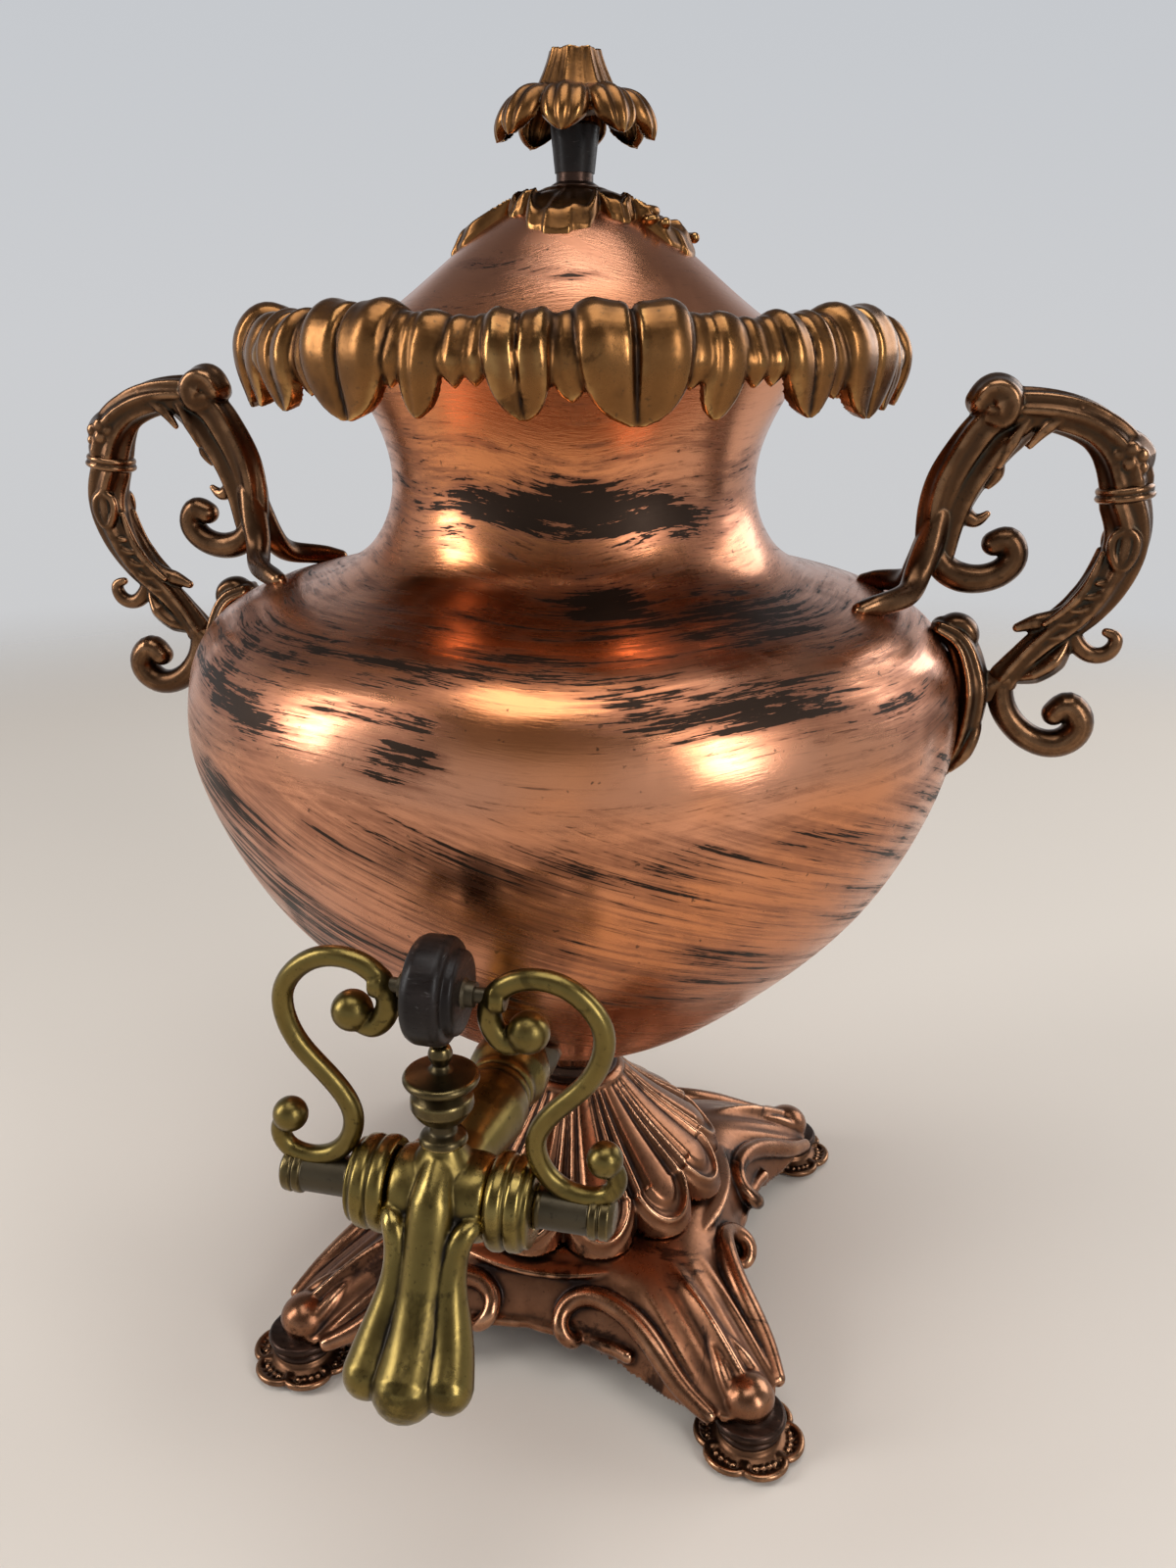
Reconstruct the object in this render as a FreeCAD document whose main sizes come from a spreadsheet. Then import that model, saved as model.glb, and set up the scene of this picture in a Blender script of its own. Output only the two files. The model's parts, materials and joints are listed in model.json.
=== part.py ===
"""Tea urn with a lift-off lid, a loose heating iron and a lever tap.

Millimetres. +Z is up and the origin lies on the urn's axis, in the plane the feet stand on.
The tap points towards -Y and the two handles lie on +X and -X.
"""
import FreeCAD, Part
import Sketcher
import math
import os
from FreeCAD import Matrix, Placement, Rotation, Vector

DRIVING_SIZES = [
    # copper vessel: outside radii and heights of its profile, from the bottom up
    ("wall", 1.2), ("bowl_bottom_height", 100), ("bowl_foot_radius", 40), ("bowl_foot_height", 111.5),
    ("bowl_low_radius", 82.6), ("bowl_low_height", 146.5), ("bowl_mid_radius", 106.5),
    ("bowl_mid_height", 174.5), ("bowl_high_radius", 121), ("bowl_high_height", 203),
    ("belly_radius", 127.3), ("belly_height", 238), ("shoulder_edge_radius", 118.5),
    ("shoulder_edge_height", 260), ("shoulder_radius", 92), ("shoulder_height", 272.8),
    ("shoulder_top_radius", 67), ("shoulder_top_height", 283.6), ("neck_radius", 59),
    ("neck_height", 300), ("mouth_radius", 76), ("mouth_height", 345.5),
    # seat and leaf collar of the mouth
    ("seat_bore", 67.2), ("seat_thickness", 1.6), ("collar_bore", 71.8), ("collar_lip", 4),
    ("solder_gap", 0.05),
    ("leaf_radius", 100), ("leaf_rise", 6.5), ("leaf_thickness", 2.4), ("leaf_drop", 18),
    ("small_leaf_drop", 11), ("leaf_groups", 8),
    # lid
    ("lid_wall", 1.1), ("lid_radius", 70.4), ("lid_brow_radius", 60.7), ("lid_brow_rise", 7.2),
    ("lid_mid_radius", 36), ("lid_mid_rise", 26.6), ("lid_crown_radius", 14), ("lid_crown_rise", 40),
    ("lid_centre_rise", 1.6), ("finial_gap", 0.1),
    ("bezel_depth", 9), ("bezel_wall", 1.2), ("lid_gap", 0.35),
    ("cap_radius", 34), ("cap_thickness", 2.6), ("cap_hub_radius", 12),
    # finial of the lid
    ("stem_ring_height", 4.4), ("stem_ring_radius", 5.6), ("stem_length", 13.6),
    ("stem_foot_radius", 6), ("stem_top_radius", 7.4), ("flower_height", 20), ("flower_top_radius", 8),
    ("flower_waist_radius", 12.4), ("flower_waist_drop", 11.6), ("flower_groove", 0.9),
    ("petal_radius", 24.8),
    ("petal_drop", 13.4), ("petal_thickness", 1.8), ("petal_count", 8), ("finial_rod_radius", 2),
    ("small_nut_radius", 4.6), ("small_nut_height", 3.4),
    # heating iron and the socket that it stands in
    ("socket_radius", 19), ("socket_wall", 1.2), ("socket_floor_height", 114), ("socket_top_height", 262),
    ("iron_radius", 14.5), ("iron_length", 128), ("iron_gap", 1), ("iron_rod_radius", 3),
    ("cover_radius", 22), ("cover_thickness", 2), ("cover_plug_depth", 7), ("cover_gap", 0.6),
    ("lift_ring_radius", 8), ("lift_ring_wire", 1.8),
    # pedestal
    ("calyx_radius", 35), ("calyx_height", 19), ("calyx_foot_radius", 19), ("calyx_wall", 1.4),
    ("calyx_flutes", 14), ("flute_radius", 3.1),
    ("neck_base_height", 86), ("pedestal_neck_radius", 14.5), ("pedestal_neck_bead", 17),
    ("dome_base_height", 42), ("dome_radius", 60), ("dome_shoulder_radius", 44),
    ("dome_shoulder_rise", 13), ("dome_top_radius", 18), ("dome_wall", 1.5), ("dome_lobes", 12),
    ("lobe_radius", 6.6), ("lobe_root_radius", 2.4),
    # base with four legs
    ("base_wall", 2), ("base_rise", 6), ("base_apron_radius", 68), ("base_apron_height", 22),
    ("foot_spread", 80), ("leg_foot_width", 11), ("leg_knee_width", 19), ("leg_root_width", 34),
    ("leg_foot_top", 27), ("leg_knee_top", 39), ("leg_knee_reach", 88), ("leg_bottom", 18.5),
    ("edge_bead", 3.2), ("strap_width", 16), ("strap_thickness", 3),
    # feet
    ("rosette_radius", 13), ("rosette_height", 6), ("rosette_petals", 6), ("rosette_petal_radius", 5.6),
    ("foot_collar_radius", 9.4), ("foot_collar_waist", 6.2), ("foot_screw_radius", 2),
    # tie bolt of the pedestal
    ("tie_radius", 3), ("tie_head_radius", 6.5), ("tie_head_height", 4), ("seal_thickness", 1.6),
    ("seal_gap", 0.25), ("seal_dish", 0.65),
    ("tie_nut_radius", 6), ("tie_nut_height", 5),
    # handles
    ("handle_reach", 168.2), ("handle_ring_height", 306.5), ("handle_ring_radius", 7.4),
    ("handle_ring_thickness", 4.2), ("handle_thickness", 6.2), ("bracket_height", 238),
    ("bracket_length", 46), ("bracket_thickness", 7), ("stud_radius", 2), ("stud_length", 17),
    ("stud_nut_radius", 4), ("stud_nut_height", 3),
    # tap
    ("tap_height", 134), ("tap_reach", 143.8), ("barrel_radius", 11.4), ("barrel_half", 13.5),
    ("plug_radius", 8), ("plug_half", 15), ("running_gap", 0.05), ("waterway_radius", 4),
    ("flange_radius", 12.5), ("flange_length", 12), ("gasket_thickness", 1.2), ("tail_radius", 6.5),
    ("bell_radius", 10.6), ("bell_end_radius", 6.8), ("gland_radius", 12.2), ("gland_length", 11.5),
    ("stub_radius", 5.5), ("stub_end", 45.4), ("end_cap_length", 6), ("end_cap_radius", 6.1),
    ("end_cap_bore", 3), ("lever_rod", 2.8), ("lever_ball", 5.2), ("lever_width", 42.6),
    ("lever_rise", 60.4), ("grip_radius", 14), ("grip_thickness", 11), ("grip_rod_radius", 2),
    ("cup_length", 3.4), ("cup_radius", 4.6), ("spout_reach", 42), ("spout_drop", 33),
    ("spout_lobe", 6.4), ("spout_lobe_spread", 9.4), ("tap_nut_radius", 11), ("tap_nut_height", 4),
    ("strainer_lap", 2), ("strainer_gap", 0.2), ("strainer_wall", 0.8), ("tap_stem_radius", 3.8),
    ("tap_stem_height", 6),
    ("tap_bulb_radius", 8), ("tap_disc_radius", 10), ("tap_disc_thickness", 2.2), ("tap_ball", 3.4),
]

doc = FreeCAD.newDocument("TeaUrn")
sheet = doc.addObject("Spreadsheet::Sheet", "Sizes")
for row, (alias, amount) in enumerate(DRIVING_SIZES, start=1):
    sheet.set("A%d" % row, alias.replace("_", " "))
    sheet.set("B%d" % row, str(amount))
    sheet.setAlias("B%d" % row, alias)
doc.recompute()

TURN = 360
UP = Vector(0, 0, 1)
ALONG_X = Vector(1, 0, 0)
FORWARD = Vector(0, -1, 0)
CENTRE = Vector(0, 0, 0)


class Size:
    """A length that knows its number and the sheet expression that it comes from."""

    def __init__(self, number, text):
        self.number = number
        self.text = text

    def joined(self, other, sign, number):
        text = other.text if isinstance(other, Size) else str(other)
        return Size(number, "(%s %s %s)" % (self.text, sign, text))

    def __float__(self):
        return float(self.number)

    def __add__(self, other):
        return self.joined(other, "+", self.number + float(other))

    def __sub__(self, other):
        return self.joined(other, "-", self.number - float(other))

    def __mul__(self, other):
        return self.joined(other, "*", self.number * float(other))

    def __truediv__(self, other):
        return self.joined(other, "/", self.number / float(other))

    def __neg__(self):
        return Size(-self.number, "(0 - %s)" % self.text)


class Sheet:
    """The sheet's sizes as attributes: Sheet(bound=True).wall is a Size, else a plain number."""

    def __init__(self, bound):
        for alias, _ in DRIVING_SIZES:
            number = float(sheet.get(alias))
            setattr(self, alias, Size(number, "Sizes." + alias) if bound else number)


S = Sheet(bound=True)
n = Sheet(bound=False)
nodes = {}


# Helpers for parametric pieces

def node(label, piece):
    """Name a finished piece and keep it for export."""
    piece.Label = label
    nodes[label] = piece
    return piece


def bind(piece, prop, size):
    """Tie a property to the sheet, or set it where the size is a plain number."""
    if isinstance(size, Size):
        piece.setExpression(prop, size.text)
    else:
        piece.setExpression(prop, str(size))


def place(piece, spot=(0, 0, 0), axis=UP):
    """Stand a piece that was drawn along +Z at a spot, turned to another axis."""
    base = Vector(*[float(part) for part in spot])
    piece.Placement = Placement(base, Rotation(UP, axis))
    for letter, part in zip("xyz", spot):
        if isinstance(part, Size):
            piece.setExpression("Placement.Base." + letter, part.text)
    return piece


def turned(label, outline, spot=(0, 0, 0), axis=UP):
    """Body turned on a lathe from an outline of (radius, height) corners."""
    body = doc.addObject("PartDesign::Body", label)
    sketch = body.newObject("Sketcher::SketchObject", label + "_outline")
    plane = [item for item in body.Origin.OriginFeatures if item.Role == "XZ_Plane"][0]
    sketch.AttachmentSupport = [(plane, "")]
    sketch.MapMode = "FlatFace"
    corners = [Vector(float(radius), float(height), 0) for radius, height in outline]
    count = len(corners)
    for index in range(count):
        sketch.addGeometry(Part.LineSegment(corners[index], corners[(index + 1) % count]), False)
    for index in range(count):
        sketch.addConstraint(Sketcher.Constraint("Coincident", index, 2, (index + 1) % count, 1))
    for index, (radius, height) in enumerate(outline):
        if float(radius) == 0:
            sketch.addConstraint(Sketcher.Constraint("PointOnObject", index, 1, -2))
        else:
            limit_sketch(sketch, "DistanceX", index, radius)
        if float(height) == 0:
            sketch.addConstraint(Sketcher.Constraint("PointOnObject", index, 1, -1))
        else:
            limit_sketch(sketch, "DistanceY", index, height)
    revolution = body.newObject("PartDesign::Revolution", label + "_turning")
    revolution.Profile = sketch
    revolution.ReferenceAxis = (sketch, ["V_Axis"])
    revolution.Angle = TURN
    return place(body, spot, axis)


def limit_sketch(sketch, kind, index, size):
    """Constrain a corner's distance from the sketch's origin and bind it."""
    number = sketch.addConstraint(Sketcher.Constraint(kind, -1, 1, index, 1, float(size)))
    if isinstance(size, Size):
        sketch.setExpression("Constraints[%d]" % number, size.text)


def cylinder(label, radius, height, spot=(0, 0, 0), axis=UP):
    piece = doc.addObject("Part::Cylinder", label)
    bind(piece, "Radius", radius)
    bind(piece, "Height", height)
    return place(piece, spot, axis)


def hexagon(label, radius, height, spot=(0, 0, 0), axis=UP):
    piece = doc.addObject("Part::Prism", label)
    piece.Polygon = 6
    bind(piece, "Circumradius", radius)
    bind(piece, "Height", height)
    return place(piece, spot, axis)


def ball(label, radius, spot):
    piece = doc.addObject("Part::Sphere", label)
    bind(piece, "Radius", radius)
    return place(piece, spot)


def joined(label, base, tool, kind="Part::Fuse"):
    piece = doc.addObject(kind, label)
    piece.Base = base
    piece.Tool = tool
    return piece


def carved(label, base, tool):
    return joined(label, base, tool, "Part::Cut")


def nut(label, radius, height, bore, spot=(0, 0, 0), axis=UP):
    """Hexagon nut with a round bore."""
    blank = hexagon(label + "_blank", radius, height, spot, axis)
    hole = cylinder(label + "_bore", bore, height, spot, axis)
    return carved(label, blank, hole)


def feature(label, shape, spot=None):
    """Sculpted piece: its shape is worked out from the sheet's sizes."""
    piece = doc.addObject("Part::Feature", label)
    piece.Shape = shape
    if spot is not None:
        piece.Placement = Placement(Vector(*spot), Rotation())
    return piece


# Helpers for sculpted shapes

def curve_through(points):
    line = Part.BSplineCurve()
    line.interpolate([Vector(*point) for point in points])
    return line


def spun(face, angle=TURN):
    return face.revolve(CENTRE, UP, angle)


def tangents(points):
    """Directions of the smooth curve through radius-height points, one at each point."""
    line = curve_through([(r, 0, z) for r, z in points])
    return [line.tangent(line.parameter(Vector(r, 0, z)))[0] for r, z in points]


def beside(points, distance):
    """Points of a radius-height curve moved sideways, to the left of its direction."""
    return [(r - along.z * distance, z + along.x * distance)
            for (r, z), along in zip(points, tangents(points))]


def arc_from(start, along, end):
    """Round arc that leaves start in a direction and ends at a point."""
    chord = end - start
    length = chord.Length
    chord.normalize()
    bulge = along - chord * along.dot(chord)
    if bulge.Length < 1e-4:
        return Part.makeLine(start, end)
    angle = along.getAngle(chord)
    bulge.normalize()
    middle = (start + end) * 0.5 + bulge * (0.5 * length * math.tan(0.5 * angle))
    return Part.Arc(start, middle, end).toShape()


def arc_chain(points):
    """Tangent round arcs through radius-height points, two from each point to the next."""
    edges = []
    spots = [Vector(r, 0, z) for r, z in points]
    ways = tangents(points)
    for start, end, leave, arrive in zip(spots, spots[1:], ways, ways[1:]):
        across = end - start
        both = across.dot(leave + arrive)
        spread = 2 * (1 - leave.dot(arrive))
        if spread < 1e-6:
            reach = across.Length / 2
        else:
            reach = (math.sqrt(both * both + spread * across.dot(across)) - both) / spread
        middle = (start + leave * reach + end - arrive * reach) * 0.5
        edges.append(arc_from(start, leave, middle))
        edges.append(arc_from(end, arrive * -1, middle))
    return edges


def profile_face(outer, inner):
    """Face between two radius-height curves that run the same way, closed by straight ends."""
    ends = [Part.makeLine(Vector(a[0], 0, a[1]), Vector(b[0], 0, b[1]))
            for a, b in ((outer[-1], inner[-1]), (inner[0], outer[0]))]
    return Part.Face(Part.Wire(Part.__sortEdges__(arc_chain(outer) + arc_chain(inner) + ends)))


def filled(points):
    """Solid of revolution inside one radius-height curve, closed to the axis."""
    low, high = points[0], points[-1]
    edges = arc_chain(points)
    edges.append(Part.makeLine(Vector(high[0], 0, high[1]), Vector(0, 0, high[1])))
    if low[0] > 0:
        edges.append(Part.makeLine(Vector(low[0], 0, low[1]), Vector(0, 0, low[1])))
    edges.append(Part.makeLine(Vector(0, 0, low[1]), Vector(0, 0, high[1])))
    return spun(Part.Face(Part.Wire(Part.__sortEdges__(edges))))


def polygon_face(corners):
    loop = [Vector(*corner) for corner in corners]
    return Part.Face(Part.makePolygon(loop + loop[:1]))


def ring_solid(corners):
    """Solid of revolution with a polygon of (radius, height) corners."""
    return spun(polygon_face([(r, 0, z) for r, z in corners]))


def rod(radius, start, end):
    """Round bar between two points."""
    along = Vector(*end) - Vector(*start)
    return Part.makeCylinder(radius, along.Length, Vector(*start), along)


def limb(points, radii):
    """Solid of round sections that swells and tapers along a smooth line."""
    line = curve_through(points)
    side = None
    rings = []
    for point, radius in zip(points, radii):
        spot = Vector(*point)
        tangent = line.tangent(line.parameter(spot))[0]
        if side is None:
            side = tangent.cross(Vector(0, 1, 0))
            if side.Length < 0.1:
                side = tangent.cross(ALONG_X)
        side = side - tangent * side.dot(tangent)
        side.normalize()
        other = tangent.cross(side)
        frame = Matrix(side.x, other.x, tangent.x, spot.x, side.y, other.y, tangent.y, spot.y,
                       side.z, other.z, tangent.z, spot.z, 0, 0, 0, 1)
        circle = Part.Wire(Part.makeCircle(radius))
        circle.Placement = Placement(frame)
        rings.append(circle)
    return Part.makeLoft(rings, True, False)


def hex_bar(radius, start, end):
    """Six-sided bar between two points."""
    along = Vector(*end) - Vector(*start)
    corners = [Vector(radius * math.cos(math.radians(angle)), radius * math.sin(math.radians(angle)), 0)
               for angle in range(0, TURN + 1, 60)]
    bar = Part.Face(Part.makePolygon(corners)).extrude(UP * along.Length)
    bar.Placement = Placement(Vector(*start), Rotation(UP, along))
    return bar


def sphere(radius, spot):
    return Part.makeSphere(radius, Vector(*spot))


def united(shapes):
    """One solid from overlapping solids."""
    whole = shapes[0].fuse(shapes[1:])
    return whole.Solids[0] if len(whole.Solids) == 1 else whole


def about_axis(shape, angle):
    """Copy turned about the urn's axis."""
    copy = shape.copy()
    copy.rotate(CENTRE, UP, angle)
    return copy


def hanging_leaf(outer, thickness, outline, spread):
    """Drooping leaf at azimuth -Y: a band of an umbrella cut to a pointed outline.

    outer is the umbrella's radius-height curve from the root out to the tip, and outline the
    leaf's corners as (sideways, height) seen from outside.
    """
    inner = beside(outer, -thickness)
    band = profile_face(outer, inner)
    band.rotate(CENTRE, UP, -90 - spread)
    band = spun(band, 2 * spread)
    reach = outer[-1][0] + 2 * thickness
    start = outer[0][0] - thickness
    cutter = polygon_face([(side, -start, height) for side, height in outline])
    return band.common(cutter.extrude(FORWARD * (reach - start)))


# Vessel

VESSEL_OUTSIDE = [
    (n.tie_radius, n.bowl_bottom_height),
    (n.bowl_foot_radius, n.bowl_foot_height),
    (n.bowl_low_radius, n.bowl_low_height),
    (n.bowl_mid_radius, n.bowl_mid_height),
    (n.bowl_high_radius, n.bowl_high_height),
    (n.belly_radius, n.belly_height),
    (n.shoulder_edge_radius, n.shoulder_edge_height),
    (n.shoulder_radius, n.shoulder_height),
    (n.shoulder_top_radius, n.shoulder_top_height),
    (n.neck_radius, n.neck_height),
    (n.mouth_radius, n.mouth_height),
]
VESSEL_INSIDE = beside(VESSEL_OUTSIDE, n.wall)
VESSEL_INSIDE[0] = (n.tie_radius, n.bowl_bottom_height + n.wall)
VESSEL_INSIDE[-1] = (n.mouth_radius - n.wall / tangents(VESSEL_OUTSIDE)[-1].z, n.mouth_height)
vessel_block = filled(VESSEL_OUTSIDE)
cavity_block = filled(VESSEL_INSIDE)


def radius_at(points, height):
    """Radius of a radius-height curve at a height."""
    line = Part.Wire(Part.__sortEdges__(arc_chain(points)))
    level = Part.makeLine(Vector(0, 0, height), Vector(2 * n.belly_radius, 0, height))
    return line.distToShape(level)[1][0][0].x


def make_vessel():
    shell = spun(profile_face(VESSEL_OUTSIDE, VESSEL_INSIDE))
    reach = n.belly_radius + n.wall
    openings = [rod(n.tail_radius, (0, 0, n.tap_height), (0, -reach, n.tap_height))]
    for side in (1, -1):
        openings.append(rod(n.stud_radius, (0, 0, n.bracket_height), (side * reach, 0, n.bracket_height)))
    node("vessel_body", feature("vessel_body", shell.cut(openings)))


def make_rim_seat():
    """Flat ring soldered inside the mouth, which carries the lid."""
    top = n.mouth_height
    blank = ring_solid([(n.seat_bore, top - n.seat_thickness), (n.mouth_radius, top - n.seat_thickness),
                        (n.mouth_radius, top), (n.seat_bore, top)])
    node("rim_seat", feature("rim_seat", blank.common(cavity_block)))


def make_rim_collar():
    """Cast collar on the mouth: a ring with big, middle and small leaves hanging from it."""
    top = n.mouth_height
    lip = top + n.collar_lip
    root = n.mouth_radius + n.leaf_thickness
    seam = n.mouth_radius + n.solder_gap
    ring = ring_solid([(n.collar_bore, top + n.solder_gap), (seam, top + n.solder_gap),
                       (seam, top - n.collar_lip), (root + 3 * n.leaf_thickness, top - n.collar_lip),
                       (root + 4 * n.leaf_thickness, top), (root + 2 * n.leaf_thickness, lip),
                       (n.collar_bore, lip)])
    crest = (n.mouth_radius + n.leaf_radius) / 2
    leaves = []
    drops = ((n.leaf_drop, 22, 0), (n.small_leaf_drop, 7.6, 10), (n.leaf_drop - 3, 11.5, 16.5),
             (n.small_leaf_drop, 7.6, 23), (n.leaf_drop - 3, 11.5, 29), (n.small_leaf_drop, 7.6, 35.2))
    for drop, width, turn in drops:
        umbrella = [(root - n.leaf_thickness, lip - 1), (crest, top + n.leaf_rise),
                    (n.leaf_radius - n.leaf_thickness, top), (n.leaf_radius, top - drop)]
        low = top - drop
        waist = 0.36 * width
        crown = 0.42 * width
        outline = [(-crown, top + 2 * n.leaf_rise), (-width / 2, top), (-waist, low + drop * 0.35),
                   (0, low), (waist, low + drop * 0.35), (width / 2, top), (crown, top + 2 * n.leaf_rise)]
        leaf = hanging_leaf(umbrella, n.leaf_thickness, outline, 9)
        for group in range(int(n.leaf_groups)):
            leaves.append(about_axis(leaf, turn + group * TURN / n.leaf_groups + 22))
    node("rim_collar", feature("rim_collar", united([ring] + leaves)))


# Lid, drawn from the height of its edge

LID_EDGE = n.mouth_height + n.lid_gap
LID_TOP = LID_EDGE + n.lid_crown_rise
LID_OUTSIDE = [
    (n.finial_rod_radius, LID_TOP + n.lid_centre_rise),
    (n.lid_crown_radius, LID_TOP),
    (n.lid_mid_radius, LID_EDGE + n.lid_mid_rise),
    (n.lid_brow_radius, LID_EDGE + n.lid_brow_rise),
    (n.lid_radius, LID_EDGE + n.lid_wall),
]
LID_INSIDE = beside(LID_OUTSIDE, -n.lid_wall)


def make_lid():
    dome = spun(profile_face(LID_OUTSIDE, LID_INSIDE))
    node("lid_dome", feature("lid_dome", dome))
    neck_radius = radius_at(VESSEL_INSIDE, LID_EDGE - n.bezel_depth)
    bezel_radius = min(n.seat_bore, neck_radius) - 3 * n.lid_gap
    top = LID_EDGE + n.lid_brow_rise
    bezel = ring_solid([(bezel_radius - n.bezel_wall, LID_EDGE - n.bezel_depth),
                        (bezel_radius, LID_EDGE - n.bezel_depth), (bezel_radius, top),
                        (bezel_radius - n.bezel_wall, top)])
    node("lid_bezel", feature("lid_bezel", bezel.common(filled_lid_inside())))


def filled_lid_inside():
    """Everything under the dome's inside surface, down past the bezel."""
    edge = LID_INSIDE[-1]
    deep = LID_EDGE - 2 * n.bezel_depth
    outline = arc_chain(LID_INSIDE)
    corners = [Vector(edge[0], 0, edge[1]), Vector(edge[0], 0, deep), Vector(0, 0, deep),
               Vector(0, 0, LID_INSIDE[0][1]), Vector(LID_INSIDE[0][0], 0, LID_INSIDE[0][1])]
    edges = outline + [Part.makeLine(a, b) for a, b in zip(corners, corners[1:])]
    return spun(Part.Face(Part.Wire(Part.__sortEdges__(edges))))


def make_leaf_cap():
    """Thin cast cap of five pointed leaves that lies on the crown of the dome."""
    tips = ((-80, 1.04), (8, 1.0), (62, 0.94), (108, 1.08), (172, 0.98), (-135, 0.96))
    outer = beside(LID_OUTSIDE, n.cap_thickness)
    shell = spun(profile_face(outer, LID_OUTSIDE))
    corners = []
    ordered = sorted(tips)
    for index, (angle, length) in enumerate(ordered):
        following = ordered[(index + 1) % len(ordered)][0] + (TURN if index + 1 == len(ordered) else 0)
        gap = following - angle
        for share, reach in ((-12, 0.9), (0, length), (12, 0.9)):
            corners.append((angle + share, reach * n.cap_radius))
        corners.append((angle + gap / 2, n.cap_radius * 0.62))
    outline = [(reach * math.sin(math.radians(angle)), -reach * math.cos(math.radians(angle)),
                LID_EDGE) for angle, reach in corners]
    cutter = polygon_face(outline).extrude(UP * (n.lid_crown_rise + 4 * n.cap_thickness))
    bore = rod(n.finial_rod_radius, (0, 0, 0), (0, 0, 2 * LID_TOP))
    node("lid_leaf_cap", feature("lid_leaf_cap", shell.common(cutter).cut(bore)))


def make_finial():
    lid_centre = S.mouth_height + S.lid_gap + S.lid_crown_rise + S.lid_centre_rise
    base = lid_centre + S.cap_thickness + S.finial_gap
    ring_top = base + S.stem_ring_height
    stem_top = ring_top + S.stem_length
    flower_top = stem_top + S.flower_height
    rod_radius = S.finial_rod_radius
    node("stem_ring", turned("stem_ring", [
        (rod_radius, base), (S.stem_ring_radius + 1.6, base), (S.stem_ring_radius + 1.6, base + 1),
        (S.stem_ring_radius, base + 2), (S.stem_ring_radius, ring_top), (rod_radius, ring_top)]))
    node("finial_stem", turned("finial_stem", [
        (rod_radius, ring_top), (S.stem_foot_radius, ring_top), (S.stem_top_radius, stem_top - 1),
        (S.stem_top_radius - 1, stem_top), (rod_radius, stem_top)]))
    rod_foot = S.mouth_height + S.lid_gap + S.lid_crown_rise - S.lid_wall - S.small_nut_height * 1.5
    node("finial_rod", cylinder("finial_rod", rod_radius, flower_top - rod_foot - 4, (0, 0, rod_foot)))
    seat = lid_centre - S.lid_wall - S.small_nut_height
    node("lid_nut", nut("lid_nut", S.small_nut_radius, S.small_nut_height, rod_radius, (0, 0, seat)))
    make_flower(float(stem_top), float(flower_top))


def make_flower(stem_top, flower_top):
    """Fluted cone that opens into a ring of drooping petals."""
    waist = flower_top - n.flower_waist_drop
    cone = ring_solid([(0, flower_top), (0, stem_top), (n.stem_top_radius + 1, stem_top),
                       (n.flower_waist_radius, waist - n.petal_thickness), (n.flower_waist_radius, waist),
                       (n.flower_top_radius, flower_top - 1), (n.flower_top_radius - 1.5, flower_top)])
    flutes = []
    for index in range(int(2 * n.petal_count)):
        slope = rod(n.flower_groove, (0, -n.flower_waist_radius - n.flower_groove / 3, waist),
                    (0, -n.flower_top_radius - n.flower_groove / 3, flower_top))
        flutes.append(about_axis(slope, (index + 0.5) * TURN / (2 * n.petal_count)))
    cone = cone.cut(flutes)
    tip = waist - n.petal_drop
    umbrella = [(n.flower_waist_radius - 3, waist - 0.8), (n.petal_radius * 0.72, waist - 1),
                (n.petal_radius * 0.93, waist - 0.3 * n.petal_drop), (n.petal_radius, tip)]
    width = 2 * math.pi * n.petal_radius / n.petal_count * 0.86
    outline = [(-width * 0.36, waist + 2), (-width / 2, waist - 0.5 * n.petal_drop),
               (-width * 0.36, tip + 2), (0, tip), (width * 0.36, tip + 2),
               (width / 2, waist - 0.5 * n.petal_drop), (width * 0.36, waist + 2)]
    petal = hanging_leaf(umbrella, n.petal_thickness, outline, 30)
    petals = [about_axis(petal, 4.6 + index * TURN / n.petal_count) for index in range(int(n.petal_count))]
    bore = rod(n.finial_rod_radius, (0, 0, stem_top), (0, 0, flower_top - 4))
    node("finial_flower", feature("finial_flower", united([cone] + petals).cut(bore)))


# Heating iron

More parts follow.
